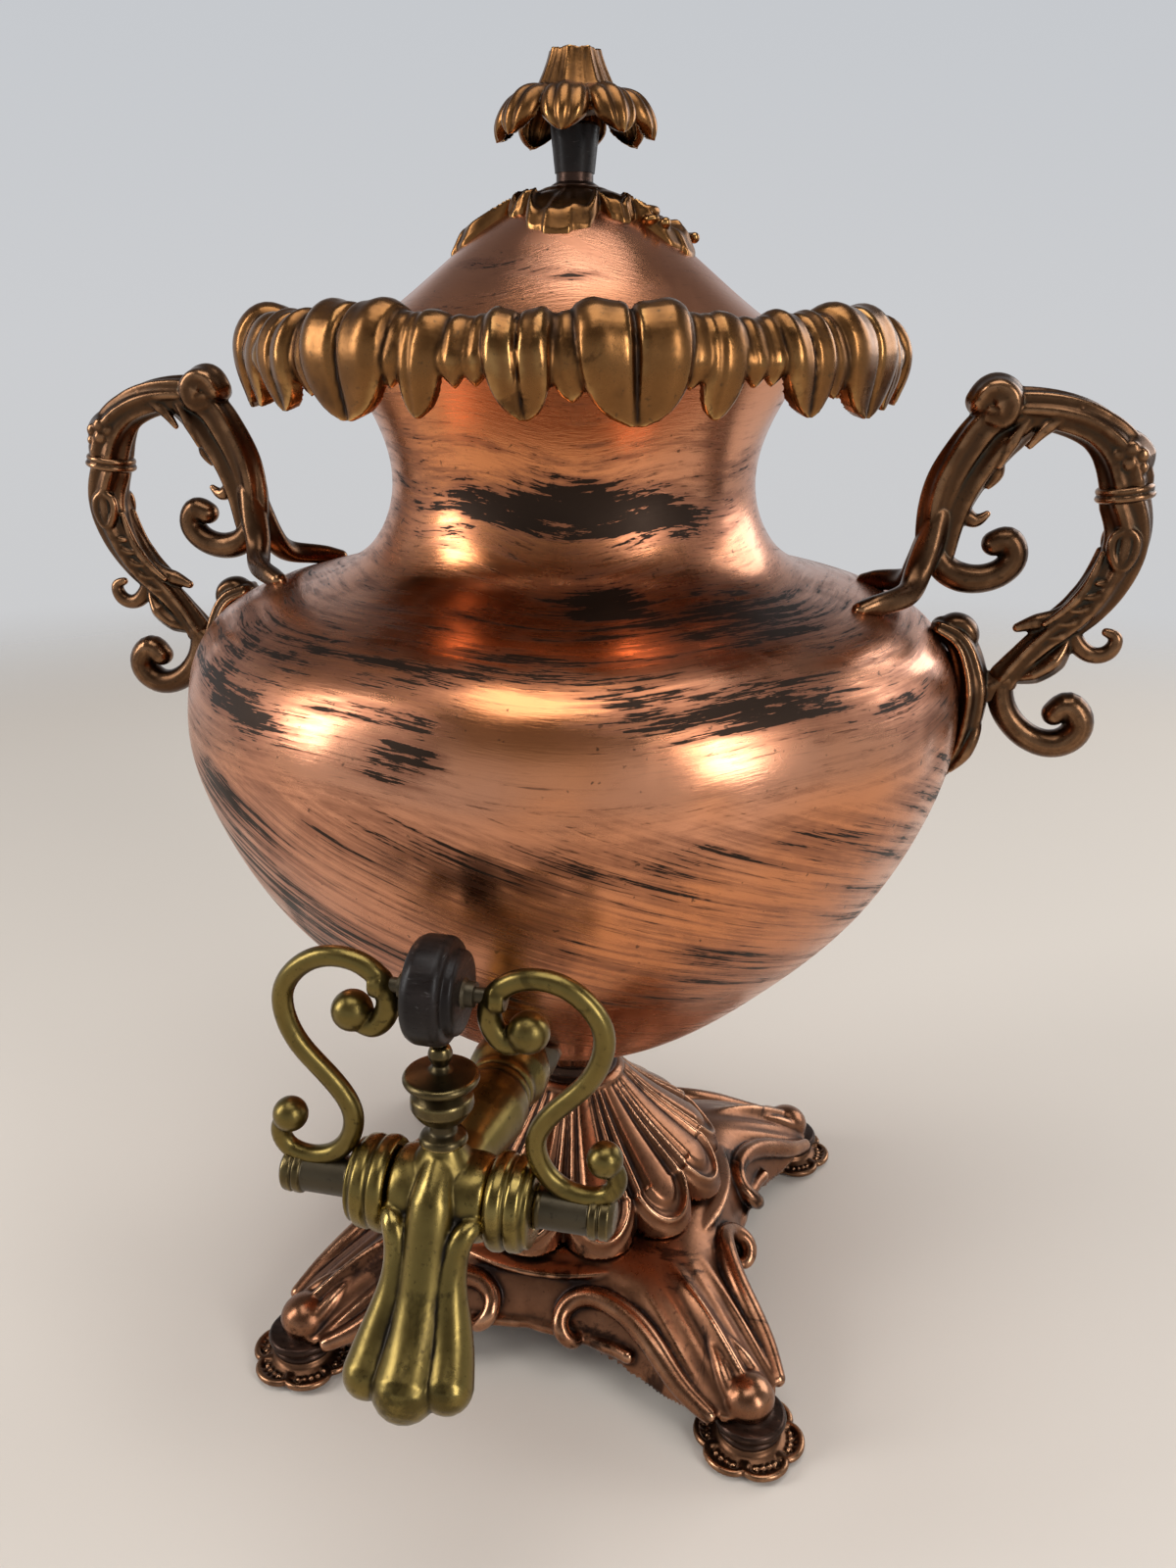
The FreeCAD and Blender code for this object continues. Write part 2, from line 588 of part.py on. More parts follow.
def make_heater():
    floor = S.socket_floor_height
    outer = S.socket_radius
    inner = S.socket_radius - S.socket_wall
    top = S.socket_top_height
    skirt = n.bowl_foot_height + n.wall
    tube = ring_solid([(n.socket_radius - n.socket_wall, n.bowl_bottom_height),
                       (n.socket_radius, n.bowl_bottom_height), (n.socket_radius, skirt),
                       (n.socket_radius - n.socket_wall, skirt)]).common(cavity_block)
    upper = turned("socket_tube", [(0, floor), (0, floor - S.socket_wall), (inner, floor - S.socket_wall),
                                   (inner, floor - S.socket_wall * 2), (outer, floor - S.socket_wall * 2),
                                   (outer, top), (inner, top), (inner, floor)])
    node("heater_socket", joined("heater_socket", upper, feature("socket_skirt", tube)))
    foot = floor + S.iron_gap
    shoulder = foot + S.iron_length
    cover_foot = top + S.lid_gap
    node("heater_iron", turned("heater_iron", [
        (0, foot), (S.iron_radius - 2, foot), (S.iron_radius, foot + 2), (S.iron_radius, shoulder - 2),
        (S.iron_radius - 2, shoulder), (S.iron_rod_radius, shoulder),
        (S.iron_rod_radius, cover_foot + S.cover_thickness), (0, cover_foot + S.cover_thickness)]))
    plug = inner - S.cover_gap
    node("heater_cover", turned("heater_cover", [
        (S.iron_rod_radius, cover_foot - S.cover_plug_depth), (plug, cover_foot - S.cover_plug_depth),
        (plug, cover_foot), (S.cover_radius, cover_foot), (S.cover_radius, cover_foot + 1),
        (S.cover_radius - 1, cover_foot + S.cover_thickness),
        (S.iron_rod_radius, cover_foot + S.cover_thickness)]))
    ring = doc.addObject("Part::Torus", "heater_ring")
    bind(ring, "Radius1", S.lift_ring_radius)
    bind(ring, "Radius2", S.lift_ring_wire)
    ring_height = cover_foot + S.cover_thickness + S.lift_ring_radius + S.lift_ring_wire
    node("heater_ring", place(ring, (0, 0, ring_height), FORWARD))


# Pedestal

def make_pedestal():
    neck_foot = S.neck_base_height
    neck_top = S.bowl_bottom_height
    bore = S.tie_radius
    waist = S.pedestal_neck_radius
    node("pedestal_neck", turned("pedestal_neck", [
        (bore, neck_foot), (S.pedestal_neck_bead, neck_foot), (S.pedestal_neck_bead, neck_foot + 2.5),
        (waist, neck_foot + 4), (waist, neck_top - 2), (waist - 2, neck_top), (bore, neck_top)]))
    make_calyx()
    make_lobed_dome()
    make_tie()


def make_calyx():
    """Flared cup of flutes that holds the bottom of the bowl."""
    low = n.bowl_bottom_height - 6
    high = low + n.calyx_height
    outer = [(n.pedestal_neck_radius, low + 2), (n.calyx_foot_radius, low + 0.25 * n.calyx_height),
             (0.72 * n.calyx_radius, low + 0.55 * n.calyx_height), (n.calyx_radius, high)]
    inner = beside(outer, n.calyx_wall)
    cup = spun(profile_face(outer, inner))
    flute = limb([(0, -n.calyx_foot_radius - 0.5, low + 1.5), (0, -0.72 * n.calyx_radius - 0.5,
                 low + 0.5 * n.calyx_height), (0, -n.calyx_radius - 1, high - 1.5)],
                 [0.8 * n.flute_radius, 0.9 * n.flute_radius, n.flute_radius])
    tip = sphere(0.8 * n.flute_radius, (0, -n.calyx_foot_radius - 0.5, low + 1.5))
    flute = united([flute, tip])
    flutes = [about_axis(flute, index * TURN / n.calyx_flutes) for index in range(int(n.calyx_flutes))]
    whole = united([cup] + flutes)
    neck = rod(n.pedestal_neck_radius, (0, 0, 0), (0, 0, n.bowl_bottom_height))
    node("calyx", feature("calyx", whole.cut([vessel_block, neck])))


def dome_line():
    top = n.neck_base_height
    return [(n.dome_radius, n.dome_base_height),
            (n.dome_shoulder_radius, n.dome_base_height + n.dome_shoulder_rise),
            (0.62 * n.dome_shoulder_radius, n.dome_base_height + 0.62 * (top - n.dome_base_height)),
            (n.dome_top_radius, top)]


def make_lobed_dome():
    """Hollow dome covered with raised drop-shaped lobes."""
    top = n.neck_base_height
    outer = dome_line()
    inner = beside(outer, n.dome_wall)
    inner[0] = (inner[0][0], n.dome_base_height)
    inner[-1] = (inner[-1][0], top - n.dome_wall)
    shell = spun(profile_face(outer, inner))
    crown = ring_solid([(n.tie_radius, top - n.dome_wall), (n.dome_top_radius, top - n.dome_wall),
                        (n.dome_top_radius, top), (n.tie_radius, top)])
    line = [(0, -r, z) for r, z in outer[::-1]]
    reach = n.dome_radius - n.lobe_radius
    spine = [line[0], line[1], line[2], (0, -reach, n.dome_base_height + 0.72 * n.lobe_radius)]
    radii = [n.lobe_root_radius, 0.55 * n.lobe_radius, 0.85 * n.lobe_radius, n.lobe_radius]
    drop = united([limb(spine, radii), sphere(n.lobe_radius, spine[-1])])
    inside = filled([(r, z) for r, z in inner[::-1]][::-1])
    floor = Part.makeBox(4 * n.dome_radius, 4 * n.dome_radius, n.dome_base_height,
                         Vector(-2 * n.dome_radius, -2 * n.dome_radius, 0))
    ceiling = rod(2 * n.dome_radius, (0, 0, top), (0, 0, 2 * top))
    drop = drop.cut([floor, ceiling, inside])
    drops = [about_axis(drop, 25 + index * TURN / n.dome_lobes) for index in range(int(n.dome_lobes))]
    node("lobed_dome", feature("lobed_dome", united([shell, crown] + drops)))


def make_tie():
    """Bolt through the bowl's bottom, the neck, the dome and the base, and what it holds."""
    seat = S.bowl_bottom_height + S.wall
    base_under = S.dome_base_height - S.base_wall
    strap_foot = base_under - S.strap_thickness
    nut_foot = strap_foot - S.tie_nut_height
    head = seat + S.seal_thickness
    node("bolt_seal", turned("bolt_seal", [
        (S.tie_radius, seat + S.seal_gap), (S.tie_head_radius + 1, seat + S.seal_dish),
        (S.tie_head_radius + 1, head),
        (S.tie_radius, head)]))
    shank = cylinder("tie_shank", S.tie_radius, head - nut_foot + 2, (0, 0, nut_foot - 2))
    cap = hexagon("tie_head", S.tie_head_radius, S.tie_head_height, (0, 0, head))
    node("pedestal_bolt", joined("pedestal_bolt", shank, cap))
    node("bolt_nut", nut("bolt_nut", S.tie_nut_radius, S.tie_nut_height, S.tie_radius, (0, 0, nut_foot)))
    bar = doc.addObject("Part::Box", "strap_bar")
    bind(bar, "Length", S.base_apron_radius * 1.4)
    bind(bar, "Width", S.strap_width)
    bind(bar, "Height", S.strap_thickness)
    place(bar, (-S.base_apron_radius * 0.7, -S.strap_width / 2, strap_foot))
    hole = cylinder("strap_bore", S.tie_radius, S.strap_thickness, (0, 0, strap_foot))
    node("base_strap", carved("base_strap", bar, hole))


# Base

def arch_section(reach, half_width, top, bottom, inset):
    """Arched section of a leg, square to the diagonal, closed along its foot."""
    centre = Vector(reach, 0, bottom)
    left = centre + Vector(0, half_width - inset, 0)
    right = centre - Vector(0, half_width - inset, 0)
    crown = Vector(reach, 0, top - inset)
    hump = [Vector(reach, 0.72 * (half_width - inset), bottom + 0.68 * (top - inset - bottom)),
            Vector(reach, -0.72 * (half_width - inset), bottom + 0.68 * (top - inset - bottom))]
    arch = Part.BSplineCurve()
    arch.interpolate([left, hump[0], crown, hump[1], right])
    return Part.Wire([arch.toShape(), Part.makeLine(right, left)])


def leg_block(inset, bottom_drop):
    """One leg along +X as a solid block; inset gives the hollow inside it."""
    foot = n.foot_spread * math.sqrt(2)
    bottom = n.leg_bottom - bottom_drop
    root_top = n.dome_base_height - 1
    stations = [(n.dome_radius * 0.55, n.leg_root_width * 1.1, root_top),
                (n.base_apron_radius, n.leg_root_width, root_top),
                (n.leg_knee_reach, n.leg_knee_width, n.leg_knee_top),
                (foot, n.leg_foot_width, n.leg_foot_top)]
    if inset:
        stations[-1] = (foot - n.leg_foot_width, 0.5 * (n.leg_foot_width + n.leg_knee_width) - inset,
                        0.5 * (n.leg_foot_top + n.leg_knee_top) - inset)
    sections = [arch_section(reach, width, top, bottom, inset) for reach, width, top in stations]
    return Part.makeLoft(sections, True, False)


def drum_block(inset, bottom):
    """Middle of the base as a solid block; inset gives the hollow inside it."""
    top = n.dome_base_height - inset
    outline = [(0, bottom), (n.base_apron_radius - inset, bottom),
               (n.base_apron_radius - inset, n.base_apron_height + n.base_rise),
               (n.dome_radius + n.base_wall - inset, top), (0, top)]
    return ring_solid(outline)


def make_base():
    """Hollow four-legged base whose edges carry scrolled beads."""
    angles = (45, 135, 225, 315)
    outside = [drum_block(0, n.base_apron_height)]
    inside = [drum_block(n.base_wall, 0)]
    beads = []
    foot = n.foot_spread * math.sqrt(2)
    for angle in angles:
        outside.append(about_axis(leg_block(0, 0), angle))
        inside.append(about_axis(leg_block(n.base_wall, 1), angle))
        for side in (1, -1):
            spine = [(0.774 * n.base_apron_radius, side * 0.56 * n.base_apron_radius,
                      n.base_apron_height + 0.5),
                     (n.base_apron_radius, side * n.leg_root_width * 0.98, n.base_apron_height + 5),
                     (n.leg_knee_reach, side * n.leg_knee_width, n.base_apron_height + 2),
                     (foot - 6, side * n.leg_foot_width, n.leg_bottom - 1)]
            radii = [n.edge_bead, 0.9 * n.edge_bead, 0.9 * n.edge_bead, 0.8 * n.edge_bead]
            curl = sphere(1.15 * n.edge_bead, spine[0])
            end = sphere(0.8 * n.edge_bead, spine[-1])
            beads.append(about_axis(united([limb(spine, radii), curl, end]), angle))
    shell = united(outside).cut(inside)
    bolt = rod(n.tie_radius, (0, 0, 0), (0, 0, n.dome_base_height))
    whole = united([shell] + beads).cut(bolt)
    screws = [about_axis(rod(n.foot_screw_radius, (foot, 0, 0), (foot, 0, n.leg_foot_top - 3)), angle)
              for angle in angles]
    node("base_plate", feature("base_plate", whole.cut(screws)))


def make_feet():
    spots = [(1, -1), (1, 1), (-1, 1), (-1, -1)]
    rosette = make_rosette()
    screws = []
    for index, (right, back) in enumerate(spots, start=1):
        spot = (S.foot_spread * right, S.foot_spread * back, 0)
        node("foot_rosette_%d" % index, feature("foot_rosette_%d" % index, rosette.copy(),
             [float(part) for part in spot]))
        low = S.rosette_height
        high = S.leg_bottom
        node("foot_collar_%d" % index, turned("foot_collar_%d" % index, [
            (S.foot_screw_radius, low), (S.foot_collar_radius - 1, low), (S.foot_collar_radius, low + 1.5),
            (S.foot_collar_radius, low + 4), (S.foot_collar_waist, low + 7), (S.foot_collar_waist, high - 2),
            (S.foot_collar_waist + 1.2, high), (S.foot_screw_radius, high)], spot))
        screws.append(cylinder("foot_screw_%d" % index, S.foot_screw_radius, S.leg_foot_top - 5,
                               (spot[0], spot[1], 2)))
    group = doc.addObject("Part::Compound", "foot_screws")
    group.Links = screws
    node("foot_screws", group)


def make_rosette():
    """Round pad with a ring of scalloped petals and a flat underside."""
    pad = ring_solid([(0, 0), (n.rosette_radius, 0), (n.rosette_radius, 0.4 * n.rosette_height),
                      (0.7 * n.rosette_radius, n.rosette_height), (0, n.rosette_height)])
    parts = [pad]
    for index in range(int(n.rosette_petals)):
        crown = 0.6 * n.rosette_height
        disc = ring_solid([(0, 0), (n.rosette_petal_radius, 0),
                           (n.rosette_petal_radius, 0.35 * n.rosette_height),
                           (0.6 * n.rosette_petal_radius, crown), (0, crown)])
        disc.translate(Vector(0, -(n.rosette_radius - 0.25 * n.rosette_petal_radius), 0))
        parts.append(about_axis(disc, (index + 0.5) * TURN / n.rosette_petals))
    bore = rod(n.foot_screw_radius, (0, 0, 2), (0, 0, 2 * n.rosette_height))
    return united(parts).removeSplitter().cut(bore)


# Handles, drawn on the +X side and mirrored for the other

# where the middle of the ring lies in the points of the two castings
DRAWN_REACH = 168.2
DRAWN_HEIGHT = 306.5

def scroll(points, radii, knob=None):
    """Limb in the plane of the handle from (x, z) points, with an optional (x, z, radius) knob."""
    solid = limb([(x, 0, z) for x, z in points], radii)
    if knob:
        return united([solid, sphere(knob[2], (knob[0], 0, knob[1]))])
    return solid


def make_handles():
    x = n.handle_reach - DRAWN_REACH
    z = n.handle_ring_height - DRAWN_HEIGHT
    thick = n.handle_thickness
    ring_axis = Vector(0.2, 0, -1)
    ring_axis.normalize()
    ring_spot = Vector(n.handle_reach, 0, n.handle_ring_height)
    half = ring_axis * (n.handle_ring_thickness / 2)
    ring_parts = []
    for share in (-0.27, 0.27):
        disc = Part.makeTorus(n.handle_ring_radius - 1.1, 1.1, ring_spot + ring_axis * (share * 4), ring_axis)
        ring_parts.append(disc)
    core = Part.makeCylinder(n.handle_ring_radius - 1.1, n.handle_ring_thickness, ring_spot - half, ring_axis)
    ring = united([core] + ring_parts)
    upper = make_upper_scroll(x, z, thick).cut([ring, vessel_block])
    bracket = make_bracket()
    lower = make_lower_scroll(x, z, thick).cut([ring, bracket])
    stud_start = n.belly_radius + n.bracket_thickness * 0.8 - n.stud_length
    stud = rod(n.stud_radius, (stud_start, 0, n.bracket_height),
               (stud_start + n.stud_length, 0, n.bracket_height))
    bracket = bracket.cut(stud)
    inner = radius_at(VESSEL_INSIDE, n.bracket_height)
    nut_blank = hex_bar(n.stud_nut_radius, (inner - n.stud_nut_height, 0, n.bracket_height),
                        (inner, 0, n.bracket_height))
    nut_solid = nut_blank.cut(stud).common(cavity_block)
    pieces = {"handle_upper": upper, "handle_ring": ring, "handle_lower": lower, "handle_bracket": bracket}
    for name, shape in pieces.items():
        node(name + "_right", feature(name + "_right", shape))
        node(name + "_left", feature(name + "_left", shape.mirror(CENTRE, ALONG_X)))
    for name, shape in (("bracket_studs", stud), ("bracket_nuts", nut_solid)):
        pair = Part.makeCompound([shape, shape.mirror(CENTRE, ALONG_X)])
        node(name, feature(name, pair))


def make_upper_scroll(x, z, thick):
    arch = scroll([(x + 130, z + 331), (x + 138, z + 327.4), (x + 146, z + 327.2), (x + 154, z + 325),
                   (x + 161.5, z + 320.5), (x + 166.3, z + 313.5), (n.handle_reach, n.handle_ring_height)],
                  [0.8 * thick, 0.85 * thick, 0.95 * thick, thick, 1.02 * thick, 1.1 * thick, 0.9 * thick],
                  (x + 127.6, z + 333.2, thick))
    spine = scroll([(x + 139, z + 326.5), (x + 130, z + 324.5), (x + 122, z + 317.2), (x + 116.4, z + 307),
                    (x + 114, z + 296), (x + 113.6, z + 287)],
                   [0.7 * thick, 0.78 * thick, 0.78 * thick, 0.78 * thick, 0.8 * thick, 0.62 * thick])
    curl = scroll([(x + 114, z + 292), (x + 116.6, z + 284.4), (x + 122, z + 279.6), (x + 129.5, z + 278.2),
                   (x + 135.4, z + 281.6), (x + 136.2, z + 286.2)],
                  [0.6 * thick, 0.66 * thick, 0.64 * thick, 0.56 * thick, 0.46 * thick, 0.36 * thick],
                  (x + 134.4, z + 287, 0.54 * thick))
    drop = scroll([(x + 122, z + 318), (x + 127, z + 314.5), (x + 130, z + 309)],
                  [0.5 * thick, 0.4 * thick, 0.22 * thick], (x + 130, z + 309, 0.22 * thick))
    hook = scroll([(x + 115, z + 299), (x + 121.5, z + 294.6), (x + 127, z + 293), (x + 129.6, z + 295)],
                  [0.5 * thick, 0.4 * thick, 0.28 * thick, 0.2 * thick],
                  (x + 129.6, z + 295, 0.22 * thick))
    toes = []
    for side in (1, -1):
        path = [(x + 113.8, 0, z + 292), (x + 113.8, side * 5, z + 284),
                (x + 112, side * 12, z + 277.5), (x + 107, side * 19, z + 273),
                (x + 99.5, side * 24, z + 271.3), (x + 94.5, side * 26, z + 272)]
        radii = [0.55 * thick, 0.55 * thick, 0.5 * thick, 0.48 * thick, 0.48 * thick, 0.42 * thick]
        toes.append(limb(path, radii))
        toes.append(sphere(0.42 * thick, path[-1]))
    return united([arch, spine, curl, drop, hook] + toes)


def make_lower_scroll(x, z, thick):
    stem = scroll([(n.handle_reach, n.handle_ring_height), (x + 171, z + 297.7), (x + 170.4, z + 287.4),
                   (x + 165.6, z + 275.8), (x + 159.2, z + 266.6), (x + 151.5, z + 259.8),
                   (x + 145, z + 253.6), (x + 140, z + 247), (x + 138.6, z + 240.8), (x + 142, z + 233.6),
                   (x + 148, z + 228.8), (x + 154.6, z + 227), (x + 160, z + 229)],
                  [0.85 * thick, 1.05 * thick, 1.05 * thick, 0.92 * thick, 0.82 * thick, 0.66 * thick,
                   0.64 * thick, 0.62 * thick, 0.6 * thick, 0.56 * thick, 0.56 * thick, 0.54 * thick,
                   0.5 * thick], (x + 161, z + 233.4, 0.86 * thick))
    leaf = scroll([(x + 158, z + 268), (x + 151, z + 264.8), (x + 145.8, z + 263)],
                  [0.5 * thick, 0.42 * thick, 0.22 * thick], (x + 145.8, z + 263, 0.22 * thick))
    curl = scroll([(x + 162, z + 270), (x + 164.6, z + 263.6), (x + 168, z + 259.8), (x + 171.4, z + 261)],
                  [0.5 * thick, 0.42 * thick, 0.36 * thick, 0.32 * thick],
                  (x + 171.6, z + 262, 0.42 * thick))
    return united([stem, leaf, curl])


def make_bracket():
    """Leaf-shaped plate that lies against the belly, with a boss for the handle."""
    thick = n.bracket_thickness
    half = n.bracket_length / 2
    path = []
    for share in (-1, -0.6, -0.2, 0.25, 0.65, 0.92):
        height = n.bracket_height + share * half
        path.append((radius_at(VESSEL_OUTSIDE, height) + 0.35 * thick, 0, height))
    plate = limb(path, [0.55 * thick, 0.95 * thick, 1.1 * thick, 1.0 * thick, 0.8 * thick, 0.6 * thick])
    curl = sphere(0.65 * thick, (path[-1][0] + 0.3 * thick, 0, path[-1][2] + 0.2 * thick))
    toe = sphere(0.55 * thick, path[0])
    boss = rod(0.7 * thick, (n.belly_radius, 0, n.bracket_height + 3),
               (n.belly_radius + 1.5 * thick, 0, n.bracket_height + 5))
    return united([plate, curl, toe, boss]).cut(vessel_block)


# Tap

def spun_forward(corners):
    """Solid turned about the tap's pipe, from (radius, distance in front of the urn's axis)."""
    solid = ring_solid(corners)
    solid.rotate(CENTRE, ALONG_X, 90)
    solid.translate(Vector(0, 0, n.tap_height))
    return solid


def make_tap():
    wall_front = radius_at(VESSEL_OUTSIDE, n.tap_height)
    tail_end = wall_front - n.flange_radius - n.tap_nut_height
    flange_back = wall_front - n.flange_radius
    flange_front = wall_front + n.flange_length
    bell_front = n.tap_reach - n.barrel_radius * 0.8
    gasket = spun_forward([(n.tail_radius, flange_back), (n.flange_radius, flange_back),
                           (n.flange_radius, wall_front + n.gasket_thickness),
                           (n.tail_radius, wall_front + n.gasket_thickness)])
    skin = filled(beside(VESSEL_OUTSIDE, -n.gasket_thickness))
    node("tap_gasket", feature("tap_gasket", gasket.common(skin).cut(vessel_block)))
    bulb = spun_forward([(n.tail_radius, flange_back), (n.flange_radius, flange_back),
                         (n.flange_radius, wall_front + 3), (n.flange_radius - 1.5, wall_front + 8),
                         (n.bell_radius - 1, flange_front - 2), (n.bell_radius - 1, flange_front),
                         (n.tail_radius, flange_front)])
    node("tap_flange", feature("tap_flange", bulb.cut([skin, rod(n.tail_radius, (0, 0, n.tap_height),
         (0, -flange_front, n.tap_height))])))
    make_tap_body(tail_end, flange_front, bell_front)
    nut_back = tail_end + n.strainer_lap + n.strainer_gap
    blank = hex_bar(n.tap_nut_radius, (0, -nut_back, n.tap_height),
                    (0, -nut_back - 3 * n.tap_nut_height, n.tap_height))
    tail = rod(n.tail_radius, (0, 0, n.tap_height), (0, -flange_front, n.tap_height))
    node("tap_lock_nut", feature("tap_lock_nut", blank.cut(tail).common(cavity_block)))
    make_strainer(tail_end)
    make_tap_finial()
    make_plug_and_lever()


def make_tap_body(tail_end, flange_front, bell_front):
    """Casting with its screwed tail, bell, cross barrel, three-lobed spout and waterway."""
    tail = rod(n.tail_radius, (0, -tail_end, n.tap_height), (0, -flange_front - 2, n.tap_height))
    bell = spun_forward([(0, flange_front), (n.bell_radius, flange_front), (n.bell_radius, flange_front + 6),
                         (n.bell_end_radius + 1.5, flange_front + 20), (n.bell_end_radius, bell_front - 8),
                         (n.bell_end_radius + 1, bell_front + 4), (0, bell_front + 4)])
    barrel = rod(n.barrel_radius, (-n.barrel_half, -n.tap_reach, n.tap_height),
                 (n.barrel_half, -n.tap_reach, n.tap_height))
    boss = rod(n.tap_stem_radius + 2.5, (0, -n.tap_reach, n.tap_height),
               (0, -n.tap_reach, n.tap_height + n.barrel_radius + 3))
    front = -n.tap_reach
    top = n.tap_height
    lobes = []
    for side, start, size in ((0, 7, 1.1), (1, 3, 1), (-1, 3, 1)):
        root = side * (n.barrel_half - 4)
        spread = side * n.spout_lobe_spread
        path = [(root, front - start, top + (5 if side == 0 else 2)), (0.62 * spread, front - 15, top - 7),
                (0.72 * spread, front - 27, top - 19), (spread, front - n.spout_reach + 3,
                top - n.spout_drop + 3), (spread, front - n.spout_reach, top - n.spout_drop)]
        radii = [size * share * n.spout_lobe for share in (0.95, 0.78, 0.86, 1, 0.98)]
        lobes.append(united([limb(path, radii), sphere(radii[-1], path[-1])]))
    mouth_spot = -front + n.spout_reach - 7
    bend = (0, -mouth_spot, top - n.spout_drop + 6)
    waterway = [rod(n.waterway_radius, (0, -tail_end + 1, top), (0, front, top)),
                rod(n.waterway_radius, (0, front, top), bend),
                sphere(n.waterway_radius, bend),
                rod(n.waterway_radius, bend, (0, -mouth_spot, top - 3 * n.spout_drop)),
                rod(n.plug_radius + n.running_gap, (-2 * n.plug_half, front, top),
                    (2 * n.plug_half, front, top))]
    chamber = rod(n.tap_stem_radius - 1, (0, front, top), (0, front, top + 2 * n.barrel_radius))
    whole = united([tail, bell, barrel, boss] + lobes).cut(waterway + [chamber])
    ends = [rod(3 * n.barrel_radius, (side * n.barrel_half, front, top), (side * 6 * n.plug_half, front, top))
            for side in (1, -1)]
    node("tap_body", feature("tap_body", whole.cut(ends)))


def make_strainer(tail_end):
    """Perforated cap over the tap's tail, inside the bowl."""
    shell = spun_forward([(0, tail_end - 6), (n.tail_radius + n.strainer_wall, tail_end - 6),
                          (n.tail_radius + n.strainer_wall, tail_end + n.strainer_lap),
                          (n.tail_radius, tail_end + n.strainer_lap),
                          (n.tail_radius, tail_end - 6 + n.strainer_wall),
                          (0, tail_end - 6 + n.strainer_wall)])
    holes = [rod(0.9, (0, -tail_end + 12, n.tap_height), (0, -tail_end - 1, n.tap_height))]
    for index in range(6):
        angle = math.radians(60 * index)
        x, z = 3.6 * math.cos(angle), n.tap_height + 3.6 * math.sin(angle)
        holes.append(rod(0.9, (x, -tail_end + 12, z), (x, -tail_end + 4, z)))
    node("tap_strainer", feature("tap_strainer", shell.cut(holes)))


def make_tap_finial():
    """Turned plug on top of the tap: stem, bulb, dished disc and ball."""
    foot = S.tap_height + S.barrel_radius + 3
    bulb = foot + S.tap_stem_height
    disc = bulb + S.tap_bulb_radius * 0.95
    top = disc + S.tap_disc_thickness
    thread = S.tap_stem_radius - 1
    turning = turned("tap_finial_turning", [
        (0, foot - 4), (thread, foot - 4), (thread, foot), (S.tap_stem_radius, foot),
        (S.tap_stem_radius - 0.8, foot + 2), (S.tap_stem_radius, bulb - 2), (S.tap_bulb_radius - 2.5, bulb),
        (S.tap_bulb_radius, bulb + 2.4), (S.tap_bulb_radius - 1.4, bulb + 4.6),
        (S.tap_stem_radius + 0.5, disc - 0.6), (S.tap_disc_radius - 1, disc), (S.tap_disc_radius, disc + 1.2),
        (S.tap_disc_radius - 0.8, top), (S.tap_disc_radius - 3, top - 0.6), (S.tap_ball * 0.6, top + 0.6),
        (S.tap_ball * 0.5, top + 2), (0, top + 2)], (0, -S.tap_reach, 0))
    knob = ball("tap_finial_ball", S.tap_ball, (0, -S.tap_reach, top + 1.4 + S.tap_ball))
    node("tap_finial", joined("tap_finial", turning, knob))


def make_plug_and_lever():
    spot = (0, -S.tap_reach, S.tap_height)
    plug_end = S.plug_half
    shaft_end = S.stub_end - S.end_cap_length
    gland_bore = S.stub_radius + S.running_gap
    turning = turned("plug_turning", [
        (0, -shaft_end), (S.stub_radius, -shaft_end), (S.stub_radius, -plug_end + 3),
        (S.plug_radius, -plug_end + 3), (S.plug_radius, plug_end - 3), (S.stub_radius, plug_end - 3),
        (S.stub_radius, shaft_end), (0, shaft_end)], spot, ALONG_X)
    way = cylinder("plug_way", S.waterway_radius, S.plug_radius * 4,
                   (0, -S.tap_reach, S.tap_height - S.plug_radius * 2))
    tenons = [cylinder("tenon_" + side, S.end_cap_bore, S.end_cap_length - 1, (start,) + spot[1:], ALONG_X)
              for side, start in (("right", shaft_end), ("left", -(S.stub_end - 1)))]
    drilled = carved("plug_drilled", turning, way)
    node("tap_plug", joined("tap_plug", joined("plug_one_tenon", drilled, tenons[0]), tenons[1]))
    for side, axis in (("right", ALONG_X), ("left", Vector(-1, 0, 0))):
        near = S.barrel_half
        far = near + S.gland_length
        outer = S.gland_radius
        node("gland_" + side, turned("gland_" + side, [
            (gland_bore, near), (outer - 0.6, near), (outer, near + 1.2), (outer, near + 4),
            (outer - 1.2, near + 5.2), (outer, near + 6.4), (outer, near + 9.4), (outer - 1, far - 0.8),
            (gland_bore + 1.5, far), (gland_bore, far)], spot, axis))
        start = shaft_end
        cap = S.end_cap_radius
        node("end_cap_" + side, turned("end_cap_" + side, [
            (S.end_cap_bore, start), (cap, start), (cap, start + 1.4), (cap - 0.8, start + 2),
            (cap, start + 2.6), (cap, start + 4.6), (cap - 1.2, S.stub_end), (0, S.stub_end),
            (0, S.stub_end - 1), (S.end_cap_bore, S.stub_end - 1)], spot, axis))
    make_lever()
    make_grip()


